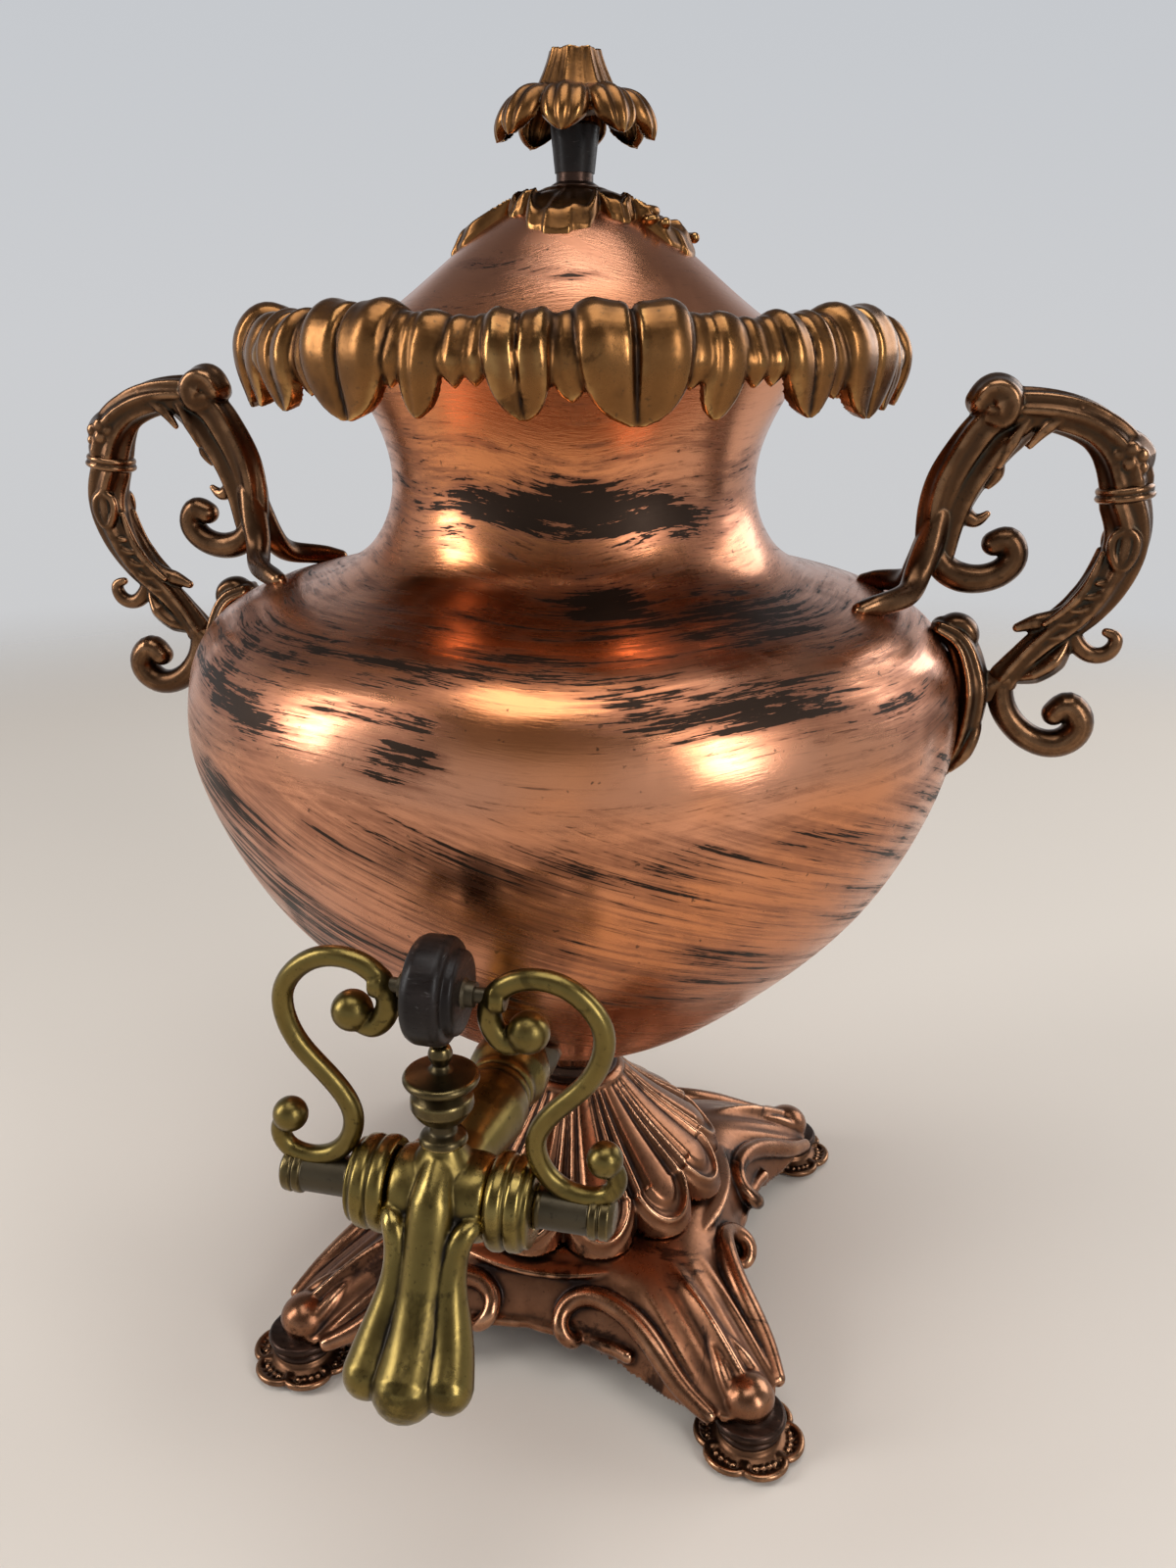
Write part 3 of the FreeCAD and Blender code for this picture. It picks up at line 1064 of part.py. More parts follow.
def make_lever():
    """Two scrolled rods with a ball at each end, brazed on the shaft stubs."""
    half = n.lever_width
    base = n.tap_height + n.stub_radius + n.lever_rod - 0.3
    top = n.tap_height + n.lever_rise
    r = n.lever_rod
    points = [(half + 1.4, base + 6), (half - 1.6, base + 0.8), (half - 8, base), (half - 14, base + 3.4),
              (half - 17.3, base + 9.2), (half - 17, base + 16.4), (half - 11, base + 23.6),
              (half - 4, base + 31.6), (half, base + 42), (half - 4, top + 1.4), (half - 13.4, top + 7),
              (half - 22.4, top + 5.6), (half - 28.2, top), (half - 27.6, top - 8), (half - 22.6, top - 12)]
    radii = [0.72 * r, 0.86 * r, r, r, r, r, r, r, r, r, r, 0.96 * r, 0.9 * r, 0.82 * r, 0.7 * r]
    front = -n.tap_reach
    path = [(x, front, z) for x, z in points]
    low_ball = sphere(n.lever_ball, (half + 0.6, front, base + 9.6))
    high_ball = sphere(1.05 * n.lever_ball, (half - 19.4, front, top - 8.2))
    lever = united([limb(path, radii), low_ball, high_ball])
    shaft = rod(n.stub_radius, (0, front, n.tap_height), (2 * half, front, n.tap_height))
    cup = rod(n.grip_rod_radius, (0, front, top), (half - 28.2, front, top))
    cap = rod(n.end_cap_radius + n.running_gap, (n.stub_end - n.end_cap_length, front, n.tap_height),
              (2 * half, front, n.tap_height))
    lever = lever.cut([shaft, cap, cup])
    node("lever_right", feature("lever_right", lever))
    node("lever_left", feature("lever_left", lever.mirror(CENTRE, ALONG_X)))


def make_grip():
    spot = (0, -S.tap_reach, S.tap_height + S.lever_rise)
    half = S.grip_thickness / 2
    outer = S.grip_radius
    node("lever_grip", turned("lever_grip", [
        (S.grip_rod_radius, -half - 1), (S.cup_radius + 1, -half - 1), (outer - 4, -half),
        (outer - 0.8, -half + 2), (outer, -half + 4), (outer, half - 4), (outer - 0.8, half - 2),
        (outer - 4, half), (S.cup_radius + 1, half + 1), (S.grip_rod_radius, half + 1)], spot, ALONG_X))
    reach = S.lever_width - 28.2
    node("grip_rod", cylinder("grip_rod", S.grip_rod_radius, reach * 2, (-reach, spot[1], spot[2]), ALONG_X))
    cups = []
    for side, axis in (("right", ALONG_X), ("left", Vector(-1, 0, 0))):
        start = half + 1
        cups.append(turned("cup_" + side, [
            (S.grip_rod_radius, start), (S.cup_radius, start), (S.cup_radius - 1.2, start + 1.2),
            (S.cup_radius - 1.4, start + S.cup_length),
            (S.grip_rod_radius, start + S.cup_length)], spot, axis))
    group = doc.addObject("Part::Compound", "grip_cups")
    group.Links = cups
    node("grip_cups", group)


make_vessel()
make_rim_seat()
make_rim_collar()
make_lid()
make_leaf_cap()
make_finial()
make_heater()
make_pedestal()
make_base()
make_feet()
make_handles()
make_tap()
doc.recompute()

os.makedirs("parts", exist_ok=True)
faults = []
for item in doc.Objects:
    if "Invalid" in item.State or "Error" in item.State:
        faults.append("%s: %s" % (item.Label, item.State))
for label, piece in nodes.items():
    shape = piece.Shape
    if shape.isNull() or not shape.isValid() or not shape.Solids:
        faults.append("%s: shape is not a valid solid" % label)
if faults:
    raise RuntimeError("; ".join(faults))
for label, piece in nodes.items():
    piece.Shape.exportStep("parts/%s.step" % label)
    print("%-18s solids %d volume %.1f" % (label, len(piece.Shape.Solids), piece.Shape.Volume))
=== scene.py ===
"""Looks of the copper tea urn: sculpted castings, spun copper and their worn finishes, whose colours also
paint shade, highlights and dark reflections.

Sizes are written in millimetres and turned into metres where a mesh is made.
Azimuths are degrees about +Z, from 0 at -Y (the tap's side) towards +X.
"""

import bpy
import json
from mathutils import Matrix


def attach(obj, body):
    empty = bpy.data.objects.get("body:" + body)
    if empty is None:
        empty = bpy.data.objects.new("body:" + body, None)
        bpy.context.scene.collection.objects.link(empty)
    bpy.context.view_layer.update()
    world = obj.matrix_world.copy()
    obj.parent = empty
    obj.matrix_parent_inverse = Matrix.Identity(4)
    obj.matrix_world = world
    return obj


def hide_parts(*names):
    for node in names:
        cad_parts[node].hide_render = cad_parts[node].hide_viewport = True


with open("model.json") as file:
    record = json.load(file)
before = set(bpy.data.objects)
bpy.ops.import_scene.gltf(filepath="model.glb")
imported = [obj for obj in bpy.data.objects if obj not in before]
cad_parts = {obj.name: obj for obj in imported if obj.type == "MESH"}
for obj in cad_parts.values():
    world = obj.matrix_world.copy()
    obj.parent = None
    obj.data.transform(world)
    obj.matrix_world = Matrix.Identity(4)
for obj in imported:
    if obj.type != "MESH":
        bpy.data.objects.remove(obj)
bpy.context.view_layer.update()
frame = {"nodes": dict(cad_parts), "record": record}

import json
import math

import bmesh
import bpy
import numpy as np
from mathutils import Matrix, Vector

MM = 0.001
NODES = frame["nodes"]
# points on each softened corner
ROUNDING_POINTS = 4
# the least radius in mm at which a leaf's width still counts as an arc
LEAF_LEAST_RADIUS = 4.0
# rounds and span of the relief of turned pieces
TURNED_RELIEF = (10, 0.9)
SIDES = (("right", 1), ("left", -1))


# Curves and meshes

def travelled(path):
    """How far along a path each of its points lies."""
    return np.concatenate([[0], np.cumsum(np.linalg.norm(np.diff(path, axis=0), axis=1))])


def headings(path):
    """Unit direction of a path at each of its points."""
    way = np.gradient(path, axis=0)
    return way / np.linalg.norm(way, axis=1)[:, None]


def left_of(path):
    """Unit normals on the left of a path in a plane."""
    way = headings(path)
    return np.stack([-way[:, 1], way[:, 0]], axis=1)


def unit(value):
    """A value kept between 0 and 1."""
    return np.clip(value, 0, 1)


def hump(value, middle, width):
    """1 at the middle, falling to 0 on both sides."""
    return np.exp(-((value - middle) / width) ** 2)


def pointed(t, start, length, least):
    """Width of a leaf that is full up to start and closes over a length, as a share."""
    return np.sqrt(np.clip(1 - unit((t - start) / length) ** 2.6, least, 1))


def smooth_path(points, count):
    """Evenly spaced points on the natural cubic curve through a few points."""
    knots = np.array(points, float)
    steps = np.linalg.norm(np.diff(knots, axis=0), axis=1)
    chord = travelled(knots)
    size = len(knots)
    system = np.eye(size)
    right = np.zeros_like(knots)
    for i in range(1, size - 1):
        before, after = steps[i - 1], steps[i]
        system[i, i - 1:i + 2] = before, 2 * (before + after), after
        right[i] = 6 * ((knots[i + 1] - knots[i]) / after - (knots[i] - knots[i - 1]) / before)
    bend = np.linalg.solve(system, right)
    places = np.linspace(0, chord[-1], count)
    span = np.clip(np.searchsorted(chord, places, side="right") - 1, 0, size - 2)
    width = steps[span][:, None]
    far = ((places - chord[span])[:, None]) / width
    near = 1 - far
    curve = near * knots[span] + far * knots[span + 1]
    curve += ((near ** 3 - near) * bend[span] + (far ** 3 - far) * bend[span + 1]) * width ** 2 / 6
    return curve


def along_path(points, values, count):
    """Values given at a path's points, spread smoothly over its evenly spaced points."""
    chord = travelled(np.array(points, float))
    return np.interp(np.linspace(0, chord[-1], count), chord, values)


def rounded(corners, radius, closed=False):
    """A polyline with its corners rounded off."""
    points = np.array(corners, float)
    size = len(points)
    out = []
    for i in range(size):
        if not closed and i in (0, size - 1):
            out.append(points[i])
            continue
        here, before, after = points[i], points[i - 1], points[(i + 1) % size]
        to_before, to_after = before - here, after - here
        reach_before = min(radius, 0.45 * np.linalg.norm(to_before))
        reach_after = min(radius, 0.45 * np.linalg.norm(to_after))
        start = here + to_before / np.linalg.norm(to_before) * reach_before
        end = here + to_after / np.linalg.norm(to_after) * reach_after
        for share in np.linspace(0, 1, ROUNDING_POINTS):
            out.append((1 - share) ** 2 * start + 2 * share * (1 - share) * here + share ** 2 * end)
    return np.array(out)


def grid_faces(rows, columns, wrap_rows=False, wrap_columns=False):
    """Quads of a grid of points numbered row by row."""
    faces = []
    for row in range(rows if wrap_rows else rows - 1):
        below = (row + 1) % rows
        for column in range(columns if wrap_columns else columns - 1):
            beside = (column + 1) % columns
            faces.append((row * columns + column, row * columns + beside,
                          below * columns + beside, below * columns + column))
    return faces


def part_of(points, faces):
    """Points as rows, with their faces."""
    return np.array(points, float).reshape(-1, 3), faces


def merged(parts):
    """Several (points, faces) parts as one."""
    points, faces, start = [], [], 0
    for part_points, part_faces in parts:
        points.append(part_points)
        faces += [tuple(index + start for index in face) for face in part_faces]
        start += len(part_points)
    return np.concatenate(points), faces


def object_of(name, part, weld=True):
    """Mesh object in metres from a part in millimetres."""
    points, faces = part
    mesh = bpy.data.meshes.new(name)
    mesh.from_pydata((points * MM).tolist(), [], faces)
    if weld:
        work = bmesh.new()
        work.from_mesh(mesh)
        bmesh.ops.remove_doubles(work, verts=work.verts, dist=1e-6)
        bmesh.ops.dissolve_degenerate(work, edges=work.edges, dist=1e-7)
        bmesh.ops.recalc_face_normals(work, faces=work.faces)
        work.to_mesh(mesh)
        work.free()
    mesh.polygons.foreach_set("use_smooth", [True] * len(mesh.polygons))
    piece = bpy.data.objects.new(name, mesh)
    bpy.context.collection.objects.link(piece)
    return piece


def turn_z(points, azimuth):
    """Points turned about +Z so that the -Y side goes to an azimuth."""
    angle = math.radians(azimuth)
    c, s = math.cos(angle), math.sin(angle)
    spin = np.array([[c, s, 0], [-s, c, 0], [0, 0, 1]])
    return points @ spin


def turned_part(part, azimuth):
    """A part turned about +Z, as turn_z does."""
    return turn_z(part[0], azimuth), part[1]


def moved_part(part, shift):
    """A part moved by a shift."""
    return part[0] + np.array(shift, float), part[1]


def mirrored_part(part):
    """A part mirrored from right to left."""
    points = part[0].copy()
    points[:, 0] *= -1
    return points, [face[::-1] for face in part[1]]


def ringed(angle, radius, height):
    """Grid of points from their angles about +Z, their radii and their heights."""
    return np.stack(np.broadcast_arrays(radius * np.sin(angle), -radius * np.cos(angle), height), axis=2)


def lathe(outline, steps, closed=False):
    """Surface turned about +Z from (radius, height) points."""
    radius, height = np.array(outline, float).T
    angles = np.linspace(0, 2 * math.pi, steps, endpoint=False)[:, None]
    return part_of(ringed(angles, radius, height), grid_faces(steps, len(radius), True, closed))


def turning(corners, soften, steps, closed=False):
    """Turned surface with softened corners."""
    return lathe(rounded(corners, soften, closed), steps, closed)


def axis_part(part, origin, axis):
    """A part drawn about +Z stood on another axis at an origin."""
    turn = Vector((0, 0, 1)).rotation_difference(Vector(axis)).to_matrix()
    return part[0] @ np.array(turn).T + np.array(origin, float), part[1]


def frames_along(path):
    """Tangent, side and up directions along a path, carried without twist."""
    tangents = headings(path)
    first = np.cross(tangents[0], (0, 1, 0))
    if np.linalg.norm(first) < 0.1:
        first = np.cross(tangents[0], (1, 0, 0))
    side = first / np.linalg.norm(first)
    sides = []
    for tangent in tangents:
        side = side - tangent * np.dot(side, tangent)
        side = side / np.linalg.norm(side)
        sides.append(side)
    sides = np.array(sides)
    return tangents, sides, np.cross(tangents, sides)


def limb(points, radii, steps, around, ribs=0, depth=0.0, twist=0.0, flat=1.0):
    """Tube that swells and tapers, with optional ribs that may wind round it, and rounded ends.

    flat stretches the section along the frame's up side: below 1 it is thinner there.
    """
    path = smooth_path(points, steps)
    radius = along_path(points, radii, steps)
    tangents, sides, ups = frames_along(path)
    centres = list(path)
    widths = list(radius)
    frames = list(zip(sides, ups))
    for angle in np.linspace(0, math.pi / 2, 6)[1:]:
        centres.insert(0, path[0] - tangents[0] * radius[0] * math.sin(angle))
        widths.insert(0, radius[0] * math.cos(angle))
        frames.insert(0, (sides[0], ups[0]))
        centres.append(path[-1] + tangents[-1] * radius[-1] * math.sin(angle))
        widths.append(radius[-1] * math.cos(angle))
        frames.append((sides[-1], ups[-1]))
    angles = np.linspace(0, 2 * math.pi, around, endpoint=False)
    rows = []
    count = len(centres)
    for index, (centre, width, (side, up)) in enumerate(zip(centres, widths, frames)):
        turn = twist * 2 * math.pi * index / count
        swell = 1 + depth * (0.5 + 0.5 * np.cos(ribs * angles + turn)) if ribs else np.ones_like(angles)
        wide, tall = np.outer(np.cos(angles) * swell, side), np.outer(np.sin(angles) * swell, up)
        rows.append(centre + width * (wide + flat * tall))
    return part_of(rows, grid_faces(count, around, False, True))


def ball(centre, radius, squash=(1, 1, 1)):
    """Ball, or an egg where it is squashed."""
    heights = np.linspace(-math.pi / 2, math.pi / 2, 17)
    points, faces = lathe(np.stack([np.cos(heights), np.sin(heights)], axis=1), 28)
    return points * radius * np.array(squash) + np.array(centre, float), faces


def leaf(spine, half_width, relief, thickness, azimuth, along, across):
    """Closed shell of a leaf that follows a (radius, height) spine at an azimuth of the urn.

    half_width(t) is in millimetres and relief(s, t) lifts the surface, s across from -1 to 1 and
    t from the root to the tip.
    """
    path = smooth_path(spine, along)
    normal = left_of(path)
    t = np.linspace(0, 1, along)[:, None]
    s = np.linspace(-1, 1, across)[None, :]
    lift = relief(s, t)
    angle = math.radians(azimuth) + s * half_width(t) / np.maximum(path[:, :1], LEAF_LEAST_RADIUS)
    sheets = []
    for drop in (0.0, thickness):
        radius, height = (path[:, k:k + 1] + normal[:, k:k + 1] * (lift - drop) for k in (0, 1))
        sheets.append(ringed(angle, radius, height))
    top, under = sheets
    row = 2 * across
    points, faces = part_of(np.concatenate([top, under[:, ::-1]], axis=1),
                            grid_faces(along, row, False, True))
    for start in (0, (along - 1) * row):
        for column in range(across - 1):
            faces.append((start + column, start + column + 1, start + row - 2 - column,
                          start + row - 1 - column))
    return points, faces


def apply_modifiers(piece):
    """Turn a piece's modifiers into a smooth-shaded mesh of its own."""
    graph = bpy.context.evaluated_depsgraph_get()
    graph.update()
    shaped = bpy.data.meshes.new_from_object(piece.evaluated_get(graph))
    piece.modifiers.clear()
    old = piece.data
    piece.data = shaped
    bpy.data.meshes.remove(old)
    shaped.name = piece.name
    shaped.polygons.foreach_set("use_smooth", [True] * len(shaped.polygons))


def cast(name, parts, voxel, smooth=1):
    """Several overlapping parts fused into one skin, like a casting."""
    piece = object_of(name, merged(parts))
    remesh = piece.modifiers.new("fuse", "REMESH")
    remesh.mode = "VOXEL"
    remesh.voxel_size = voxel * MM
    remesh.use_smooth_shade = True
    soften = piece.modifiers.new("soften", "SMOOTH")
    soften.factor = 0.5
    soften.iterations = smooth
    apply_modifiers(piece)
    return piece


def read_vectors(vertices, name):
    """One vector of every vertex, as rows."""
    values = np.empty(len(vertices) * 3)
    vertices.foreach_get(name, values)
    return values.reshape(-1, 3)


def carve_relief(piece, rounds, span):
    """Store how far each point stands out of its surroundings, from 0 in grooves to 1 on ridges.

    rounds is how widely the surroundings are smoothed and span the height in mm of a full ridge.
    """
    mesh = piece.data
    size = len(mesh.vertices)
    spots, normals = read_vectors(mesh.vertices, "co"), read_vectors(mesh.vertices, "normal")
    edges = np.empty(len(mesh.edges) * 2, int)
    mesh.edges.foreach_get("vertices", edges)
    start, end = edges[0::2], edges[1::2]
    count = np.maximum(np.bincount(start, minlength=size) + np.bincount(end, minlength=size), 1)
    soft = spots.copy()
    for _ in range(rounds):
        total = np.stack([np.bincount(start, soft[end, k], size) + np.bincount(end, soft[start, k], size)
                          for k in range(3)], axis=1)
        soft = 0.5 * soft + 0.5 * total / count[:, None]
    stand = np.sum((spots - soft) * normals, axis=1) / MM
    value = np.clip(0.5 + 0.5 * stand / span, 0, 1)
    layer = mesh.attributes.new("relief", "FLOAT", "POINT")
    layer.data.foreach_set("value", value.astype(np.float32))
    return piece


def show(piece, body, material, node):
    """Dress a piece, tie it to its body and let it stand for a CAD node."""
    piece.data.materials.clear()
    piece.data.materials.append(material)
    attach(piece, body)
    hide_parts(node)


def show_casting(name, parts, voxel, relief, body, material, node, smooth=1):
    """Fuse, carve and show a casting. relief holds the rounds and the span of carve_relief."""
    show(carve_relief(cast(name, parts, voxel, smooth), *relief), body, material, node)


def show_turning(name, part, body, material, node):
    """Carve and show a turned piece."""
    show(carve_relief(object_of(name, part), *TURNED_RELIEF), body, material, node)


# Materials

class Look:
    """A node material, built with short calls."""

    def __init__(self, name):
        self.material = bpy.data.materials.new(name)
        self.material.use_nodes = True
        self.tree = self.material.node_tree
        self.shader = self.tree.nodes["Principled BSDF"]

    def add(self, kind, inputs=None, **settings):
        made = self.tree.nodes.new(kind)
        for key, value in settings.items():
            setattr(made, key, value)
        for key, value in (inputs or {}).items():
            self.feed(made.inputs[key], value)
        return made

    def feed(self, socket, value):
        if isinstance(value, bpy.types.NodeSocket):
            self.tree.links.new(value, socket)
        else:
            socket.default_value = value

    def spot(self):
        return self.add("ShaderNodeTexCoord").outputs["Object"]

    def named(self, name, vector=False):
        made = self.add("ShaderNodeAttribute", attribute_name=name)
        return made.outputs["Vector" if vector else "Fac"]

    def scaled(self, vector, scale):
        return self.add("ShaderNodeMapping", {"Vector": vector, "Scale": scale}).outputs[0]

    def noise(self, vector, scale, detail, rough, distort=0.0):
        return self.add("ShaderNodeTexNoise", {"Vector": vector, "Scale": scale, "Detail": detail,
                                               "Roughness": rough, "Distortion": distort}).outputs["Fac"]

    def maths(self, operation, first, second):
        made = self.add("ShaderNodeMath", operation=operation)
        for socket, value in zip(made.inputs, (first, second)):
            self.feed(socket, value)
        return made.outputs[0]

    def plus(self, value, other, share):
        """A value with a share of another one added."""
        return self.maths("ADD", value, self.maths("MULTIPLY", other, share))

    def swayed(self, value, noise, share):
        """A value pushed up and down by a share of a noise."""
        return self.plus(value, self.maths("SUBTRACT", noise, 0.5), share)

    def spread(self, value, low, high, to_low=0.0, to_high=1.0):
        made = self.add("ShaderNodeMapRange", {"Value": value, "From Min": low, "From Max": high,
                                               "To Min": to_low, "To Max": to_high})
        made.interpolation_type = "SMOOTHSTEP"
        return made.outputs[0]

    def mixed(self, share, first, second):
        made = self.add("ShaderNodeMix", data_type="RGBA")
        self.feed(made.inputs[0], share)
        for socket, value in ((made.inputs[6], first), (made.inputs[7], second)):
            self.feed(socket, value if isinstance(value, bpy.types.NodeSocket) else (*value, 1))
        return made.outputs[2]

    def bump(self, height, strength, distance, normal=None):
        made = self.add("ShaderNodeBump", {"Height": height, "Strength": strength, "Distance": distance})
        if normal:
            self.feed(made.inputs["Normal"], normal)
        return made.outputs[0]

    def finish(self, colour, rough, metal=1.0, normal=None):
        self.feed(self.shader.inputs["Base Color"], colour)
        self.feed(self.shader.inputs["Roughness"], rough)
        self.feed(self.shader.inputs["Metallic"], metal)
        if normal:
            self.feed(self.shader.inputs["Normal"], normal)
        return self.material


def copper_look():
    """Rose copper with brushed scratches, remains of dark lacquer and painted dark reflections.

    Reads level and steep, the brushing directions, slope, the share of the steep one, and the lacquer
    share, how much lacquer is left together with painted dark reflections.
    """
    look = Look("aged_copper")
    spot = look.spot()
    level = look.named("level", vector=True)
    steep = look.named("steep", vector=True)
    slope = look.named("slope")
    upright = look.maths("SUBTRACT", 1.0, slope)

    def brushed(level_scale, steep_scale, detail, rough, distort):
        """Noise along the level brushing, and along the steep one where the copper slopes."""
        first = look.maths("MULTIPLY", look.noise(level, level_scale, detail, rough, distort), upright)
        return look.plus(first, look.noise(steep, steep_scale, detail, rough, distort), slope)

    cloud = look.noise(spot, 34, 5, 0.6, 0.6)
    tone = look.spread(look.noise(spot, 9, 3, 0.5), 0.38, 0.64)
    copper = look.mixed(tone, (0.66, 0.25, 0.10), (0.62, 0.285, 0.165))
    copper = look.mixed(look.spread(cloud, 0.50, 0.74, 0, 0.45), copper, (0.36, 0.135, 0.075))
    brush = brushed(1.0, 1.0, 7, 0.66, 0.3)
    scratch = brushed(4.5, 3.6, 3, 0.7, 0.5)
    patch = look.noise(spot, 24, 5, 0.62, 0.8)
    # the lacquer share also holds painted dark reflections, so the haze and the lacquer streaks made from
    # it paint them too
    amount = look.maths("ADD", look.plus(brush, patch, 0.45), look.named("lacquer_and_painted_reflection"))
    lacquer_and_painted_reflection = look.spread(look.swayed(amount, scratch, 0.55), 0.895, 0.925)
    haze_and_painted_reflection = look.spread(amount, 0.66, 0.92, 0, 0.78)
    colour = look.mixed(haze_and_painted_reflection, copper, (0.215, 0.085, 0.050))
    scored = look.maths("MULTIPLY", look.spread(scratch, 0.57, 0.66),
                        look.spread(amount, 0.60, 0.80, 0.12, 0.80))
    colour = look.mixed(scored, colour, (0.085, 0.036, 0.022))
    colour = look.mixed(lacquer_and_painted_reflection, colour, (0.030, 0.018, 0.012))
    speck = look.noise(spot, 420, 2, 0.5)
    colour = look.mixed(look.spread(speck, 0.70, 0.76, 0, 0.7), colour, (0.05, 0.03, 0.02))
    rough = look.plus(look.plus(look.spread(cloud, 0.35, 0.75, 0.19, 0.31), haze_and_painted_reflection, 0.17), lacquer_and_painted_reflection, 0.14)
    metal = look.spread(lacquer_and_painted_reflection, 0.0, 1.0, 1.0, 0.92)
    height = look.plus(look.maths("MULTIPLY", scratch, 0.5), lacquer_and_painted_reflection, 0.5)
    wave = look.bump(look.noise(spot, 15, 2, 0.4), 0.35, 0.004)
    return look.finish(colour, rough, metal, look.bump(height, 0.22, 0.0004, wave))


def cast_look(name, dark, middle, bright, rough, fleck=(0.05, 0.035, 0.02), shift=0.0, stain=0.0):
    """Cast metal dark in its grooves, from patina and painted shade, bright on its ridges, from rubbing and
    painted highlights, and stained in patches.
    """
    look = Look(name)
    spot = look.spot()
    blotch = look.noise(spot, 60, 4, 0.6)
    grain = look.noise(spot, 520, 3, 0.6)
    # the relief paints shade into the grooves and highlights onto the ridges, on top of the patina and the
    # rubbed wear
    wear_and_painted_light = look.maths("ADD", look.swayed(look.named("relief"), blotch, 0.35), shift)
    colour = look.mixed(look.spread(wear_and_painted_light, 0.26, 0.50), dark, middle)
    colour = look.mixed(look.spread(wear_and_painted_light, 0.50, 0.78), colour, bright)
    colour = look.mixed(look.spread(grain, 0.60, 0.72, 0, 0.55), colour, fleck)
    if stain:
        patch = look.noise(spot, 30, 6, 0.68, 0.7)
        colour = look.mixed(look.spread(patch, 0.56, 0.63, 0, stain), colour, dark)
    roughness = look.swayed(look.spread(wear_and_painted_light, 0.3, 0.7, rough[1], rough[0]), grain, 0.22)
    metal = look.spread(wear_and_painted_light, 0.16, 0.36, 0.72, 1.0)
    return look.finish(colour, roughness, metal, look.bump(grain, 0.12, 0.0003))


def dark_look(name, colour, rough, metal=0.0, scuff=(0.11, 0.10, 0.095), gloss=0.25):
    """Ebonised wood or blackened metal with pale scuffs."""
    look = Look(name)
    spot = look.spot()
    grain = look.noise(look.scaled(spot, (1, 6, 1)), 90, 5, 0.6)
    scratches = look.noise(look.scaled(spot, (1, 1, 5)), 240, 4, 0.7, 0.5)
    mixed = look.mixed(look.spread(grain, 0.4, 0.7, 0, 0.6), colour, tuple(2.1 * part for part in colour))
    mixed = look.mixed(look.spread(scratches, 0.62, 0.74, 0, 0.8), mixed, scuff)
    roughness = look.spread(scratches, 0.3, 0.7, *rough)
    look.shader.inputs["Specular IOR Level"].default_value = gloss
    return look.finish(mixed, roughness, metal, look.bump(scratches, 0.1, 0.0002))


def plain_metal_look(name, colour, rough=0.45):
    """Hidden metal pieces: mottled, with fine turning marks."""
    look = Look(name)
    spot = look.spot()
    blotch = look.noise(spot, 70, 5, 0.6)
    marks = look.noise(look.scaled(spot, (1, 1, 14)), 160, 3, 0.6)
    mixed = look.mixed(look.spread(blotch, 0.3, 0.75), colour, tuple(0.45 * part for part in colour))
    roughness = look.spread(marks, 0.3, 0.7, rough - 0.08, rough + 0.12)
    return look.finish(mixed, roughness, 1.0, look.bump(marks, 0.15, 0.0002))


def leather_look():
    """Oiled leather with fine pores."""
    look = Look("leather_washer")
    pores = look.noise(look.spot(), 900, 3, 0.6)
    colour = look.mixed(pores, (0.10, 0.055, 0.03), (0.24, 0.14, 0.08))
    return look.finish(colour, 0.7, 0.0, look.bump(pores, 0.3, 0.0003))


COPPER = copper_look()
# in these cast looks the dark colour is patina with painted shade in the grooves, and the bright colour is
# rubbed metal with painted highlights on the ridges
PLAIN_COPPER = cast_look("pedestal_copper", (0.018, 0.010, 0.008), (0.20, 0.088, 0.046),
                         (0.68, 0.37, 0.215), (0.19, 0.40), (0.05, 0.024, 0.016), -0.05, 0.85)
COLLAR_BRASS = cast_look("antique_brass", (0.022, 0.011, 0.006), (0.20, 0.090, 0.030), (0.70, 0.42, 0.155),
                         (0.17, 0.38), shift=-0.07, stain=0.5)
TAP_BRASS = cast_look("tap_brass", (0.014, 0.010, 0.006), (0.165, 0.118, 0.036), (0.58, 0.43, 0.145),
                      (0.19, 0.40), (0.035, 0.026, 0.012), -0.06, 0.5)
SPINDLE_BRASS = cast_look("spindle_brass", (0.060, 0.046, 0.026), (0.075, 0.055, 0.026), (0.42, 0.31, 0.12),
                          (0.25, 0.40), (0.02, 0.015, 0.008), -0.06)
HANDLE_BRASS = cast_look("dark_brass", (0.030, 0.026, 0.019), (0.080, 0.039, 0.019), (0.38, 0.20, 0.10),
                         (0.24, 0.40), (0.03, 0.02, 0.012))
FOOT_BRASS = cast_look("foot_brass", (0.02, 0.012, 0.008), (0.13, 0.062, 0.033), (0.52, 0.28, 0.15),
                       (0.27, 0.42), (0.04, 0.025, 0.015))
BLACK_WOOD = dark_look("ebonised_wood", (0.010, 0.007, 0.006), (0.26, 0.42), gloss=0.16)
BLACKENED = dark_look("blackened_copper", (0.030, 0.016, 0.011), (0.25, 0.42), 0.8, (0.16, 0.085, 0.055))
IRON = plain_metal_look("iron", (0.14, 0.13, 0.13))
TINNED = plain_metal_look("tinned_copper", (0.55, 0.53, 0.50), 0.34)
LEATHER = leather_look()


# Vessel and lid

VESSEL = [(0, 100), (20, 103), (40, 111.5), (60, 125.3), (82.6, 146.5), (106.5, 174.5), (121, 203),
          (127.3, 238), (118.5, 260), (92, 272.8), (67, 283.6), (59, 300), (76, 345.5)]
VESSEL_WALL = 1.2
# heights between which the brushing changes from level to steep
VESSEL_STEEP = (243, 222)
